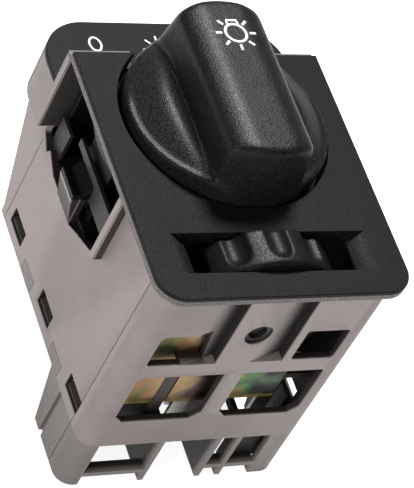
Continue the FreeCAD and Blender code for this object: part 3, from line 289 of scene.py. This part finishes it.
def housing_painted_shade(graph):
    """How dark a point of the housing is.

    Painted shade darkens the room behind the front wall, the channels, the faces beside the side
    ribs, the knob well and the gap under the plate. The flange is darkened in a grainy pattern,
    and a line near each rear corner is darkened too.
    """
    x, y, z = axes(graph)
    depth = y - FRONT
    across = z - WHEEL_AXIS
    hole = between(graph, (x * x + across * across).maths("SQRT"), 3.1, 3.3)
    ramps = [under(graph, abs(x - middle), RAMP_HALF - 0.1, RAMP_HALF + 0.1) for middle in RAMPS]
    sides = [abs(x - (middle + RAMP_HALF)) for middle in RAMPS]
    above = between(graph, z, CHANNEL_END - 0.1, CHANNEL_END + 0.1)
    step = between(graph, sides[0].maths("MINIMUM", sides[1]), 0.03, 0.15)
    on_ramp = ramps[0].maths("MAXIMUM", ramps[1]) * above * hole * step
    # painted shade behind the front wall, deepening down each ramp towards its step
    plain_wall, ramp_floor = between(graph, depth, 0.1, 0.5), between(graph, depth, 0.3, 2.1)
    behind = mixed_value(on_ramp, plain_wall, ramp_floor)
    ending = under(graph, abs(z - CHANNEL_END), 0.06, 0.12)
    notch = under(graph, abs(x - NOTCH), 1.2, 1.4).maths("MAXIMUM", ramps[1])
    behind = behind * (1 - ending * notch * 0.85)
    wall = under(graph, abs(x), WALL_HALF, WALL_HALF + 0.2)
    room = under(graph, abs(x), 26.4, 26.55) * between(graph, depth, ROOM_DEPTH, ROOM_DEPTH + 0.2)
    within = wall.maths("MAXIMUM", room) * under(graph, y, TOP_RIB - 0.5, TOP_RIB)
    below = under(graph, z, PLATE - 2.6, PLATE - 2.45)
    # painted shade on the faces beside the side ribs
    rib_face = under(graph, abs(y - TOP_RIB), 0.06, 0.12) * between(graph, z, 46, 46.2)
    ribs = between(graph, abs(x), 26.75, 26.85).maths("MAXIMUM", rib_face)
    ribs = ribs * under(graph, abs(x), 28.3, 28.5) * below * 0.95
    away = y - KNOB_ROW
    # painted shade in the knob well
    well = under(graph, (x * x + away * away).maths("SQRT"), 24.2, 24.6)
    well = well * between(graph, z, PLATE - 12, PLATE - 11)
    # painted shadow in the gap under the plate
    plate_gap_shadow = between(graph, z, PLATE - 1.05, PLATE - 0.95)
    flange = (1 - below) * between(graph, cloud(graph, 0.5, 1), 0.3, 0.7, 0.4, 0.75)
    rear_line = under(graph, abs(y - REAR_SEAM), 0.11, 0.17) * under(graph, abs(z - 29.5), 13, 13.2)
    rear_line = rear_line * between(graph, abs(x), 25.9, 26.1)
    found = behind * within
    for place in (ribs, well, plate_gap_shadow, flange, rear_line):
        found = found.maths("MAXIMUM", place)
    return found


def base_painted_shade(graph):
    """How dark a point of the rear base is: behind its front wall, and up inside the housing."""
    # painted shade behind the front wall and up inside the housing
    x, y, z = axes(graph)
    depth = y - FRONT
    wall = under(graph, abs(x), WALL_HALF, WALL_HALF + 0.2)
    room = under(graph, abs(x), 25.2, 25.4) * between(graph, depth, ROOM_DEPTH, ROOM_DEPTH + 0.2)
    inside = between(graph, z, SHELL_END, SHELL_END + 0.2) * under(graph, abs(x), 26.5, 26.6)
    reached = wall.maths("MAXIMUM", room).maths("MAXIMUM", inside)
    return between(graph, depth, 0.2, 1.8) * reached * 0.95


grained_black = moulded("grained_black", screen(20, 20, 21), roughness=0.36, grain=0.34,
                        depth=0.02, mottle=0.05, speck=0.4, gloss=0.12)
plate_black = moulded("plate_black", screen(17, 17, 18), roughness=0.5, grain=0.34,
                      depth=0.04, mottle=0.05, speck=0.4, gloss=0.08)
smooth_black = moulded("smooth_black", screen(16, 16, 18), roughness=0.46, grain=0.5,
                       depth=0.012, mottle=0.05, gloss=0.14)
polished_black = moulded("polished_black", screen(26, 26, 30), roughness=0.55, grain=1.5,
                         depth=0.0, mottle=0.0, gloss=0.07, swing=0.01)
# the grey mouldings take their painted shade from the two shade rules above
housing_grey = moulded("housing_grey", screen(138, 129, 127), roughness=0.55, grain=0.4,
                       depth=0.02, mottle=0.05, gloss=0.35, painted_shade=housing_painted_shade)
base_grey = moulded("base_grey", screen(118, 112, 109), roughness=0.55, grain=0.4,
                    depth=0.02, mottle=0.05, gloss=0.35, painted_shade=base_painted_shade)
print("moulded finishes:", [m.name for m in bpy.data.materials])

# %% [markdown]
# ## Metal, board, glass and paint
# The sheet behind the windows is plated steel whose thin film turns gold, green, brown and plum
# as its thickness changes. A colour ramp across the sheet, which slow noise pushes about, gives
# those bands, and the sheet's lower edge is yellow.
# Contacts are copper, blades are tinned, springs are drawn steel, and the board is brown
# laminate, darkened as painted shade for the inside of the housing. The symbols are white paint,
# and the little lamp is glass in a blue holder.

# %% Metal, board, glass and paint
def metal(name, colour, roughness, streak):
    """Bare metal with fine marks, streak millimetres apart."""
    material, graph, shader = new_material(name, {"Metallic": 1.0})
    marks = cloud(graph, streak)
    body = mixed(graph, marks, shade(colour, 0.8), shade(colour, 1.1))
    dull = between(graph, marks, 0.2, 0.8, roughness - 0.08, roughness + 0.1)
    graph.feed(shader.inputs["Base Color"], body)
    graph.feed(shader.inputs["Roughness"], dull)
    graph.feed(shader.inputs["Normal"], bumped(graph, marks, 0.008))
    return material


SHEET_LEFT, SHEET_WIDTH = -25, 41  # where the bands start and how far they run
YELLOW_EDGE = PLATE - 43.6  # below this height the sheet is yellow


def chromated(name):
    """Plated sheet with the colours of a thin film."""
    material, graph, shader = new_material(name, {"Metallic": 1.0})
    x, _, z = axes(graph)
    low = between(graph, z + cloud(graph, 2), YELLOW_EDGE, YELLOW_EDGE + 1.2, 0.8, 0)
    film = (x - SHEET_LEFT) / SHEET_WIDTH + (cloud(graph, 6, 1.5) - 0.5) * 0.6
    bands = graph.add("ShaderNodeValToRGB", {"stops": [
        (0.0, screen(176, 142, 84)), (0.12, screen(92, 110, 62)), (0.24, screen(150, 112, 84)),
        (0.38, screen(158, 134, 96)), (0.5, screen(92, 76, 88)), (0.6, screen(140, 108, 66)),
        (0.76, screen(66, 96, 58)), (0.92, screen(38, 36, 38))]}, {"Fac": film}, "Color")
    graph.feed(shader.inputs["Base Color"], mixed(graph, low, bands, screen(206, 184, 112)))
    graph.feed(shader.inputs["Roughness"], between(graph, cloud(graph, 3), 0.3, 0.7, 0.3, 0.44))
    graph.feed(shader.inputs["Normal"], bumped(graph, cloud(graph, 1.2), 0.01))
    return material


def coated(name, colour, roughness, constants):
    """A plain coat with faint unevenness."""
    material, graph, shader = new_material(name, constants)
    uneven = cloud(graph, 0.8)
    graph.feed(shader.inputs["Base Color"], mixed(graph, uneven, shade(colour, 0.94), colour))
    dull = between(graph, uneven, 0.2, 0.8, roughness - 0.04, roughness + 0.04)
    graph.feed(shader.inputs["Roughness"], dull)
    return material


chromate = chromated("chromated_sheet")
copper = metal("contact_copper", screen(214, 140, 100), 0.3, 0.6)
tinned = metal("tinned_brass", screen(176, 174, 168), 0.34, 0.7)
steel = metal("spring_steel", screen(168, 168, 172), 0.3, 0.3)
resistance = metal("resistance_wire", screen(120, 104, 92), 0.45, 0.25)
# the board's brown is darkened as painted shade for the inside of the housing
laminate = coated("board_laminate", screen(44, 37, 32), 0.5, {})
symbol_white = coated("symbol_white", screen(248, 248, 248), 0.45, {})
bulb_glass = coated("bulb_glass", screen(244, 246, 248), 0.08,
                    {"Transmission Weight": 0.9, "IOR": 1.5})
holder_blue = moulded("holder_blue", screen(52, 84, 138), roughness=0.4, grain=0.5, depth=0.012)
print("finishes so far:", len(bpy.data.materials))

# %% [markdown]
# ## Rounded edges on the mouldings
# A mould never leaves a knife edge, so every moulded edge catches a thin line of light. The CAD
# model has the main rounds only. A copy of each moulded piece is merged, its flat triangles are
# joined into whole faces, and a Bevel modifier rounds what stays sharp. The Weighted Normal
# modifier keeps the broad faces flat and lets only the narrow rounds bend the light. Two inner
# sheets are copied too: the slot of one and the post of the other move sideways to their places.

# %% Round the moulded pieces
MERGE = 0.001  # corners closer than this become one, in millimetres
FLAT_ANGLE = 0.5  # faces that meet at less than this become one, in degrees
SHARP_ANGLE = 35  # edges that turn more than this are rounded, in degrees
scene = bpy.context.scene


def shown(name, mesh, body):
    """A finished object at the origin that moves with a body."""
    piece = bpy.data.objects.new(name, mesh)
    scene.collection.objects.link(piece)
    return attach(piece, body)


def plain_mesh(holder):
    """The evaluated shape of an object as a mesh without modifiers."""
    bpy.context.view_layer.update()
    evaluated = holder.evaluated_get(bpy.context.evaluated_depsgraph_get())
    mesh = bpy.data.meshes.new_from_object(evaluated)
    bpy.data.objects.remove(holder)
    return mesh


def softened(node, material, width, slide=None):
    """Stand a copy with rounded edges in for a CAD node; width is in millimetres.

    A slide is a box and a distance: the corners inside the box move along X by that distance.
    """
    mesh = nodes[node].data.copy()
    form = bmesh.new()
    form.from_mesh(mesh)
    bmesh.ops.remove_doubles(form, verts=form.verts, dist=MERGE * MM)
    bmesh.ops.dissolve_limit(form, angle_limit=math.radians(FLAT_ANGLE),
                             verts=form.verts, edges=form.edges)
    if slide:
        low, high, distance = slide
        for corner in form.verts:
            if all(a * MM < place < b * MM for a, place, b in zip(low, corner.co, high)):
                corner.co.x += distance * MM
    for face in form.faces:
        face.smooth = True
    form.to_mesh(mesh)
    form.free()
    holder = bpy.data.objects.new(node + "_copy", mesh)
    scene.collection.objects.link(holder)
    bevel = holder.modifiers.new("rounds", "BEVEL")
    bevel.width = width * MM
    bevel.segments = 2
    bevel.limit_method = "ANGLE"
    bevel.angle_limit = math.radians(SHARP_ANGLE)
    holder.modifiers.new("flat_faces", "WEIGHTED_NORMAL").keep_sharp = True
    rounded = plain_mesh(holder)
    rounded.materials.clear()
    rounded.materials.append(material)
    piece = shown(node + "_rounded", rounded, body_of[node])
    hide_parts(node)
    return piece


rounded_pieces = {
    "front_bezel": (plate_black, 0.22), "symbol_strip": (polished_black, 0.25),
    "housing": (housing_grey, 0.16), "rear_base": (base_grey, 0.16),
    "mechanism_carrier": (smooth_black, 0.2), "left_latch": (smooth_black, 0.2),
    "right_latch": (smooth_black, 0.2),
}
for node, (material, width) in rounded_pieces.items():
    piece = softened(node, material, width)
    print(node, "has", len(piece.data.polygons), "faces after rounding")

slot = ((-19.6, -36, 0), (-16.1, -32.9, PLATE), 6.4)
for node, material in (("dimmer_heat_plate", chromate), ("contact_board", laminate)):
    piece = softened(node, material, 0.05, slide=slot)
    print(node, "has", len(piece.data.polygons), "faces with its slot or post in place")

# %% [markdown]
# ## Shapes grown by a rule
# The knob and the thumbwheel are smooth bodies with hollows cut into them. Drawing their blends
# by hand would take many patches. A distance rule is shorter: it says how far any point is from
# each simple surface, keeps the larger of two distances to cut and the smaller to join, and
# smooths the corner between them. Geometry Nodes fill a grid with that distance, and Volume to
# Mesh finds the surface where it is zero.

# %% Grow a mesh from a tree
def grown(name, sizes, build, material, start=None):
    """A plain mesh made by a Geometry Nodes tree with named sizes."""
    tree = bpy.data.node_groups.new(name, "GeometryNodeTree")
    labels = {"Geometry": "NodeSocketGeometry", **{label: "NodeSocketFloat" for label in sizes},
              "Material": "NodeSocketMaterial"}
    inputs = {label: tree.interface.new_socket(label, in_out="INPUT", socket_type=kind).identifier
              for label, kind in labels.items()}
    tree.interface.new_socket("Geometry", in_out="OUTPUT", socket_type="NodeSocketGeometry")
    graph = Graph(tree)
    entry = tree.nodes.new("NodeGroupInput")
    given = {label: Value(graph, find(entry.outputs, key)) for label, key in inputs.items()}
    whole = graph.add("GeometryNodeRealizeInstances", {}, [build(graph, given)])
    paint = {"Geometry": whole, "Material": given["Material"]}
    painted = graph.add("GeometryNodeSetMaterial", {}, paint)
    graph.feed(tree.nodes.new("NodeGroupOutput").inputs[0], painted)
    holder = bpy.data.objects.new(name + "_seed", start or bpy.data.meshes.new(name + "_seed"))
    scene.collection.objects.link(holder)
    modifier = holder.modifiers.new(name, "NODES")
    modifier.node_group = tree
    for label, size in sizes.items():
        modifier[inputs[label]] = float(size)
    modifier[inputs["Material"]] = material
    return plain_mesh(holder)


def joined(a, b, blend=0.0):
    """Distance to two bodies fused, with a fillet between them."""
    graph = a.graph
    if not blend:
        return a.maths("MINIMUM", b)
    return graph.add("ShaderNodeMath", {"operation": "SMOOTH_MIN"}, [a, b, blend])


def cut(a, b, blend=0.0):
    """Distance to what two bodies have in common, with a round on the edge."""
    graph = a.graph
    if not blend:
        return a.maths("MAXIMUM", b)
    return graph.add("ShaderNodeMath", {"operation": "SMOOTH_MAX"}, [a, b, blend])


def length_of(*parts):
    """Root of the sum of squares."""
    total = parts[0] * parts[0]
    for part in parts[1:]:
        total = total + part * part
    return total.maths("SQRT")


SURFACE = 0.5  # density where the distance is zero
DENSITY_FALL = 0.2  # density lost for each millimetre outwards


def skin(graph, distance, low, high, voxel):
    """The surface where the distance, in millimetres, is zero inside a box."""
    steps = [round((b - a) / voxel) + 1 for a, b in zip(low, high)]
    values = {"Density": SURFACE - distance * DENSITY_FALL, "Background": 0.0,
              "Min": Vector(low) * MM, "Max": Vector(high) * MM,
              "Resolution X": steps[0], "Resolution Y": steps[1], "Resolution Z": steps[2]}
    filled = graph.add("GeometryNodeVolumeCube", {}, values)
    surface = graph.add("GeometryNodeVolumeToMesh", {}, {"Volume": filled, "Threshold": SURFACE})
    return graph.add("GeometryNodeSetShadeSmooth", {}, [surface])


def point(graph, middle):
    """X, Y and Z of a point in millimetres from the middle of a piece."""
    place = graph.add("GeometryNodeInputPosition")
    parts = [graph.add("ShaderNodeSeparateXYZ", {}, [place], axis) for axis in "XYZ"]
    return [part * PER_METRE - offset for part, offset in zip(parts, middle)]


print("distance rules are ready")

# %% [markdown]
# ## The knob
# The knob is a low cone with a tall grip across it. The grip's ends follow a steep round body, its
# sides lean a little, and its crown is flat in the middle and falls away in a plane on each side.
# Beside the grip the cone falls inwards again, which leaves a soft lobe on each side, and a small
# lip lifts the rim except at the rear. Each edge has its own round, given as a blend length.
# A height above a slope is more than the distance to it, so each sloping rule has a scale below 1.

# %% Grow the knob
CONE_SLOPE, CONE_SCALE = 0.553, 0.875
END_SCALE, CROWN_SCALE, LOBE_SCALE = 0.975, 0.94, 0.9
CROWN_ROUND = 0.9  # blend between the crown's planes, in millimetres
KNOB_FLOOR = -3.9  # lower end of the knob, from the plate, in millimetres
LIP_WIDTH = 2  # how far the lip reaches in from the rim, in millimetres


def knob_rule(graph, given):
    """Distance to the knob."""
    x, y, z = point(graph, (0, KNOB_ROW, PLATE))
    rim, rise, top = given["Rim radius"], given["Rim height"], given["Top"]
    radius = length_of(x, y)
    side = abs(x) - given["Grip half"] - (top - z) * given["Lean"]
    reach = length_of(x, y.maths("MAXIMUM", y * given["Lobe stretch"]))
    lip = (radius - (rim - LIP_WIDTH)).maths("MAXIMUM", 0) * under(graph, y, 2, 10)
    cone = (z - rise - (rim - reach) * CONE_SLOPE - lip * lip * given["Lip"]) * CONE_SCALE
    cone = cut(cone, radius - rim, given["Rim round"])
    ends = (radius - rim + (z - rise) * given["Steepness"]) * END_SCALE
    fall = (z - top + (abs(x) - given["Crown bend"]) * given["Crown fall"]) * CROWN_SCALE
    crown = cut(z - top, fall, CROWN_ROUND)
    grip = cut(cut(crown, side, given["Edge round"]), ends, given["End round"])
    rising = (given["Lobe place"] - abs(x)) * given["Lobe fall"]
    inward = (z - given["Lobe height"] + rising) * LOBE_SCALE
    lobe = cut(cone, inward, given["Lobe round"])
    whole = cut(joined(lobe, grip, given["Foot round"]), KNOB_FLOOR - z)
    return skin(graph, whole, (-23.2, KNOB_ROW - 23.2, PLATE - 4.6),
                (23.2, KNOB_ROW + 23.2, PLATE + 16.2), 0.28)


knob_sizes = {
    "Rim radius": 22.55, "Rim height": 1.4, "Rim round": 1.1, "Lip": 0.2, "Steepness": 0.14,
    "Top": 14.5, "Crown bend": 5.2, "Crown fall": 0.36, "Grip half": 9.6, "Lean": 0.06,
    "Edge round": 3, "End round": 2.4, "Lobe place": 14.6, "Lobe height": 6.3, "Lobe fall": 0.5,
    "Lobe round": 3.6, "Lobe stretch": 0.8, "Foot round": 2,
}
knob = shown("knob_grip", grown("knob_grip", knob_sizes, knob_rule, grained_black), "selector")
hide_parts("knob")
print("knob:", len(knob.data.polygons), "faces")

# %% [markdown]
# ## The thumbwheel
# The dimmer's wheel is a ring with thirteen finger scallops that run from its rear face and end
# in a round before its front rim. Folding the angle into one thirteenth of a turn lets one
# scallop rule stand for all of them.

# %% Grow the thumbwheel
SCALLOPS = 13


def wheel_rule(graph, given):
    """Distance to the thumbwheel: a scalloped ring, a thin web and a hub with a bore."""
    x, y, z = point(graph, (0, WHEEL_ROW, WHEEL_AXIS))
    radius = length_of(x, z)
    half = given["Half width"]
    disc = cut(radius - given["Radius"], abs(y) - half, given["Rim round"])
    pitch = 2 * math.pi / SCALLOPS
    angle = x.maths("ARCTAN2", z)
    folded = angle - (angle / pitch).maths("ROUND") * pitch
    sideways = radius * folded.maths("SINE")
    upwards = radius * folded.maths("COSINE") - given["Scallop centre"]
    behind = (y * -1 - given["Scallop start"]).maths("MAXIMUM", 0)
    scallop = given["Scallop radius"] - length_of(sideways, upwards, behind)
    ring_or_hub = joined(given["Room radius"] - radius, radius - given["Hub radius"])
    solid = joined(ring_or_hub, abs(y) - given["Web half"])
    wheel = cut(cut(disc, scallop, given["Scallop round"]), solid)
    wheel = cut(wheel, given["Bore radius"] - radius)
    return skin(graph, wheel, (-19.4, -35.2, PLATE - 36.1), (19.4, -24.6, PLATE + 2.7), 0.25)


wheel_sizes = {"Radius": 18.95, "Half width": 4.65, "Rim round": 1.6, "Scallop centre": 20.6,
               "Scallop radius": 3.1, "Scallop start": 0.3, "Scallop round": 0.7,
               "Room radius": 14, "Hub radius": 4, "Bore radius": 2, "Web half": 1.2}
wheel_mesh = grown("dimmer_wheel", wheel_sizes, wheel_rule, smooth_black)
wheel = shown("dimmer_wheel", wheel_mesh, "dimmer")
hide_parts("dimmer_thumbwheel")
print("thumbwheel:", len(wheel.data.polygons), "faces")

# %% [markdown]
# ## Printed symbols
# The lamp on the knob and the signs on the strip are thin white prints. Each is a set of strokes,
# so the script writes only the middle lines. A Geometry Nodes tree turns every line into a flat
# band, lays it on the surface below and gives it the thickness of paint.

# %% Print the symbols
PAINT = 0.04  # thickness of the print, in millimetres
PRINT_GAP = 0.01  # how far a print stands above its surface, in millimetres
STRIP = PLATE - 10.5  # symbol strip's surface above the floor, in millimetres
FLAT = 10000  # bend radius of a flat surface, in millimetres


def stroke_rule(graph, given):
    """Bands along the lines, laid on a surface that bends across X."""
    lines = graph.add("GeometryNodeMeshToCurve", {}, [given["Geometry"]])
    lines = graph.add("GeometryNodeSetCurveNormal", {"mode": "Z_UP"}, {"Curve": lines})
    half = given["Stroke width"] * (0.5 * MM)
    start = graph.add("ShaderNodeCombineXYZ", {}, {"X": half * -1})
    stop = graph.add("ShaderNodeCombineXYZ", {}, {"X": half})
    profile = graph.add("GeometryNodeCurvePrimitiveLine", {}, {"Start": start, "End": stop})
    band = graph.add("GeometryNodeCurveToMesh", {}, {"Curve": lines, "Profile Curve": profile})
    x, y, z = point(graph, (0, 0, 0))
    bend = given["Crown radius"]
    height = given["Height"] - bend + (bend * bend - x * x).maths("SQRT")
    place = graph.add("ShaderNodeCombineXYZ", {}, [x * MM, y * MM, height * MM])
    laid = graph.add("GeometryNodeSetPosition", {}, {"Geometry": band, "Position": place})
    paint = graph.add("ShaderNodeCombineXYZ", {}, {"Z": given["Paint"] * MM})
    values = {"Mesh": laid, "Offset": paint, "Offset Scale": 1.0, "Individual": False}
    return graph.add("GeometryNodeExtrudeMesh", {}, values)


def strokes(name, lines):
    """A mesh of open and closed lines; a closed line ends where it starts."""
    mesh = bpy.data.meshes.new(name)
    points, edges = [], []
    for line in lines:
        first = len(points)
        closed = line[0] == line[-1]
        spots = line[:-1] if closed else line
        points += [(x * MM, y * MM, 0) for x, y in spots]
        edges += [(first + i, first + i + 1) for i in range(len(spots) - 1)]
        if closed:
            edges.append((first + len(spots) - 1, first))
    mesh.from_pydata(points, edges, [])
    return mesh


def arc(x, y, across, up, start, stop, steps=40):
    """Points on an ellipse from one angle to another, in degrees."""
    angles = [math.radians(start + (stop - start) * i / steps) for i in range(steps + 1)]
    spots = [(x + across * math.cos(a), y + up * math.sin(a)) for a in angles]
    return spots[:-1] + [spots[0]] if abs(stop - start) == 360 else spots


def rays(x, y, inner, outer, angles):
    """Short lines that point away from a middle."""
    found = []
    for angle in angles:
        c, s = math.cos(math.radians(angle)), math.sin(math.radians(angle))
        steps = [inner + (outer - inner) * i / 4 for i in range(5)]
        found.append([(x + r * c, y + r * s) for r in steps])
    return found


def printed(name, lines, body, width, height, bend=FLAT):
    """Print lines on a body; width, height and bend radius are in millimetres."""
    sizes = {"Stroke width": width, "Height": height, "Crown radius": bend, "Paint": PAINT}
    mesh = grown(name, sizes, stroke_rule, symbol_white, strokes(name + "_lines", lines))
    print(name, "has", len(mesh.polygons), "faces")
    shown(name, mesh, body)


lamp_place = 0.6  # right of the knob axis, in millimetres
lamp_row = KNOB_ROW + 11.1
cap = [(-1.3, lamp_row + 2.5), (-1.1, lamp_row + 3.5), (1.1, lamp_row + 3.5), (1.3, lamp_row + 2.5)]
lamp = [arc(lamp_place, lamp_row, 2.4, 2.4, 0, 360)] + [[(x + lamp_place, y) for x, y in cap]]
lamp += rays(lamp_place, lamp_row, 3.2, 4.7, (45, 0, -45, -90, -135, 180, 135))
knob_top = PLATE + knob_sizes["Top"] + PRINT_GAP
printed("knob_lamp_symbol", lamp, "selector", 0.6, knob_top, bend=150)

strip_row = 34.5
strip_height = STRIP + PRINT_GAP
printed("off_symbol", [arc(-16.7, strip_row, 1.35, 1.9, 0, 360)], "body", 0.5, strip_height)
side_light = [arc(-1.7, strip_row - 1.3, 1.7, 1.7, 0, 360, 32)]
side_light += rays(-1.7, strip_row - 1.3, 2.3, 3.9, range(0, 360, 45))
printed("side_light_symbol", side_light, "body", 0.45, strip_height)
beam = [arc(17.4, strip_row, 1.6, 1.9, -90, 90, 16) + [(17.4, strip_row - 1.9)]]
beam += [[(16.6 - 2.6, strip_row + d - 0.7), (16.6, strip_row + d)] for d in (-1.6, -0.5, 0.6, 1.7)]
printed("low_beam_symbol", beam, "body", 0.45, strip_height)

# %% [markdown]
# ## Finishes on the pieces that stay as they are
# Contacts, blades, springs and the other inner pieces have their true shapes already. A CAD node
# keeps its mesh and takes a new material in its slots.

# %% Dress the inner pieces
inner_finishes = {
    "contact_board": laminate, "dimmer_heat_plate": chromate, "dimmer_resistor": resistance,
    "detent_spring": steel, "left_latch_spring": steel, "right_latch_spring": steel,
    "symbol_bulb": bulb_glass, "bulb_holder": holder_blue, "selector_shaft": smooth_black,
    "shaft_retaining_ring": steel, "contact_rotor": smooth_black, "moving_contact": copper,
    "dimmer_axle": smooth_black, "dimmer_wiper": copper,
    "knob": grained_black, "dimmer_thumbwheel": smooth_black,
    **{f"fixed_contact_{i}": copper for i in (1, 2, 3)},
    **{f"terminal_blade_{i}": tinned for i in range(1, 9)},
    **{node: material for node, (material, width) in rounded_pieces.items()},
}
for node, piece in nodes.items():
    piece.data.materials.clear()
    piece.data.materials.append(inner_finishes[node])
print("dressed nodes:", len(inner_finishes), "of", len(nodes))

# %% [markdown]
# ## The latch springs
# A latch that is pressed in makes its spring shorter. A copy of each spring stands in for the CAD
# node, and the share of its length that it keeps when the latch is in is worked out.

# %% Copy the latch springs
joints = {joint["name"]: joint for joint in frame["record"]["behaviour"]["joints"]}
for side, inner in (("left", 1), ("right", 0)):
    node = side + "_latch_spring"
    coil = shown(node + "_coil", nodes[node].data.copy(), "body")
    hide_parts(node)
    ends = [corner[0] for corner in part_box(node)]
    travel = joints[side + "_latch_slide"]["range_m"][1]
    keep = 1 - travel / (ends[1] - ends[0])
    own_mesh(coil)
    print(node, "keeps", round(keep, 2), "of its length when the latch is in")

# %% [markdown]
# ## Floor, light and camera
# The photograph has a white studio's light. A soft box above and behind the switch gives the
# knob its highlight, a weaker one at the left draws the line along its rim, and a wide one in
# front fills the shade. A pale floor stays almost white to the camera, to gloss and through
# glass, and still takes the shadow. The camera has a long lens and looks down from the left of
# the front.

# %% Floor, light and camera
floor_mesh = bpy.data.meshes.new("studio_floor")
reach, depth = 1.2, -0.0004  # half the floor's side, and its height just under the feet
signs = ((-1, -1), (1, -1), (1, 1), (-1, 1))
floor_mesh.from_pydata([(a * reach, b * reach, depth) for a, b in signs], [], [(0, 1, 2, 3)])
floor = bpy.data.objects.new("studio_floor", floor_mesh)
scene.collection.objects.link(floor)
paper, graph, shader = new_material("studio_paper", {"Roughness": 0.9})
speck = cloud(graph, 30)
pale = mixed(graph, speck, (0.62, 0.62, 0.62, 1), (0.64, 0.64, 0.64, 1))
graph.feed(shader.inputs["Base Color"], pale)
path = [graph.add("ShaderNodeLightPath", {}, {}, ray) for ray in
        ("Is Camera Ray", "Is Glossy Ray", "Is Transmission Ray")]
seen = path[0].maths("MAXIMUM", path[1]).maths("MAXIMUM", path[2])
glow = graph.add("ShaderNodeEmission", {}, {"Color": (1, 1, 1, 1), "Strength": seen * 0.86})
both = graph.add("ShaderNodeAddShader", {}, [Value(graph, shader.outputs[0]), glow])
graph.feed(paper.node_tree.nodes["Material Output"].inputs["Surface"], both)
floor_mesh.materials.append(paper)

world = bpy.data.worlds.new("studio")
scene.world = world
world.use_nodes = True
sky = world.node_tree.nodes["Background"]
sky.inputs["Color"].default_value = (1, 1, 1, 1)
sky.inputs["Strength"].default_value = 0.14


def soft_light(name, direction, distance, size, power):
    """A square area light that faces the switch."""
    lamp = bpy.data.lights.new(name, "AREA")
    lamp.size = size
    lamp.energy = power
    holder = bpy.data.objects.new(name, lamp)
    target = Vector((0, 0, 0.05))
    holder.location = target + Vector(direction).normalized() * distance
    holder.rotation_euler = (target - holder.location).to_track_quat("-Z", "Y").to_euler()
    scene.collection.objects.link(holder)


soft_light("overhead_box", (0.2, 0.51, 0.84), 0.9, 0.24, 13.0)
soft_light("left_box", (-0.88, -0.32, 0.35), 1.0, 0.5, 4.8)
soft_light("front_box", (-0.2, -0.95, 0.25), 1.0, 0.8, 4.0)

camera_data = bpy.data.cameras.new("studio_camera")
camera_data.lens = 184.5
camera_data.sensor_width = 36
camera_data.clip_start = 0.01
camera = bpy.data.objects.new("studio_camera", camera_data)
scene.collection.objects.link(camera)
right = Vector((0.8832, -0.3005, 0.3601)).normalized()
back = Vector((-0.4685, -0.5302, 0.7067)).normalized()
up = back.cross(right).normalized()
right = up.cross(back).normalized()
turn = Matrix((right, up, back)).transposed().to_4x4()
camera.matrix_world = Matrix.Translation((-0.24742, -0.29058, 0.42053)) @ turn
scene.camera = camera
scene.view_settings.view_transform = "Standard"
print("camera looks from", [round(v, 3) for v in camera.matrix_world.translation])
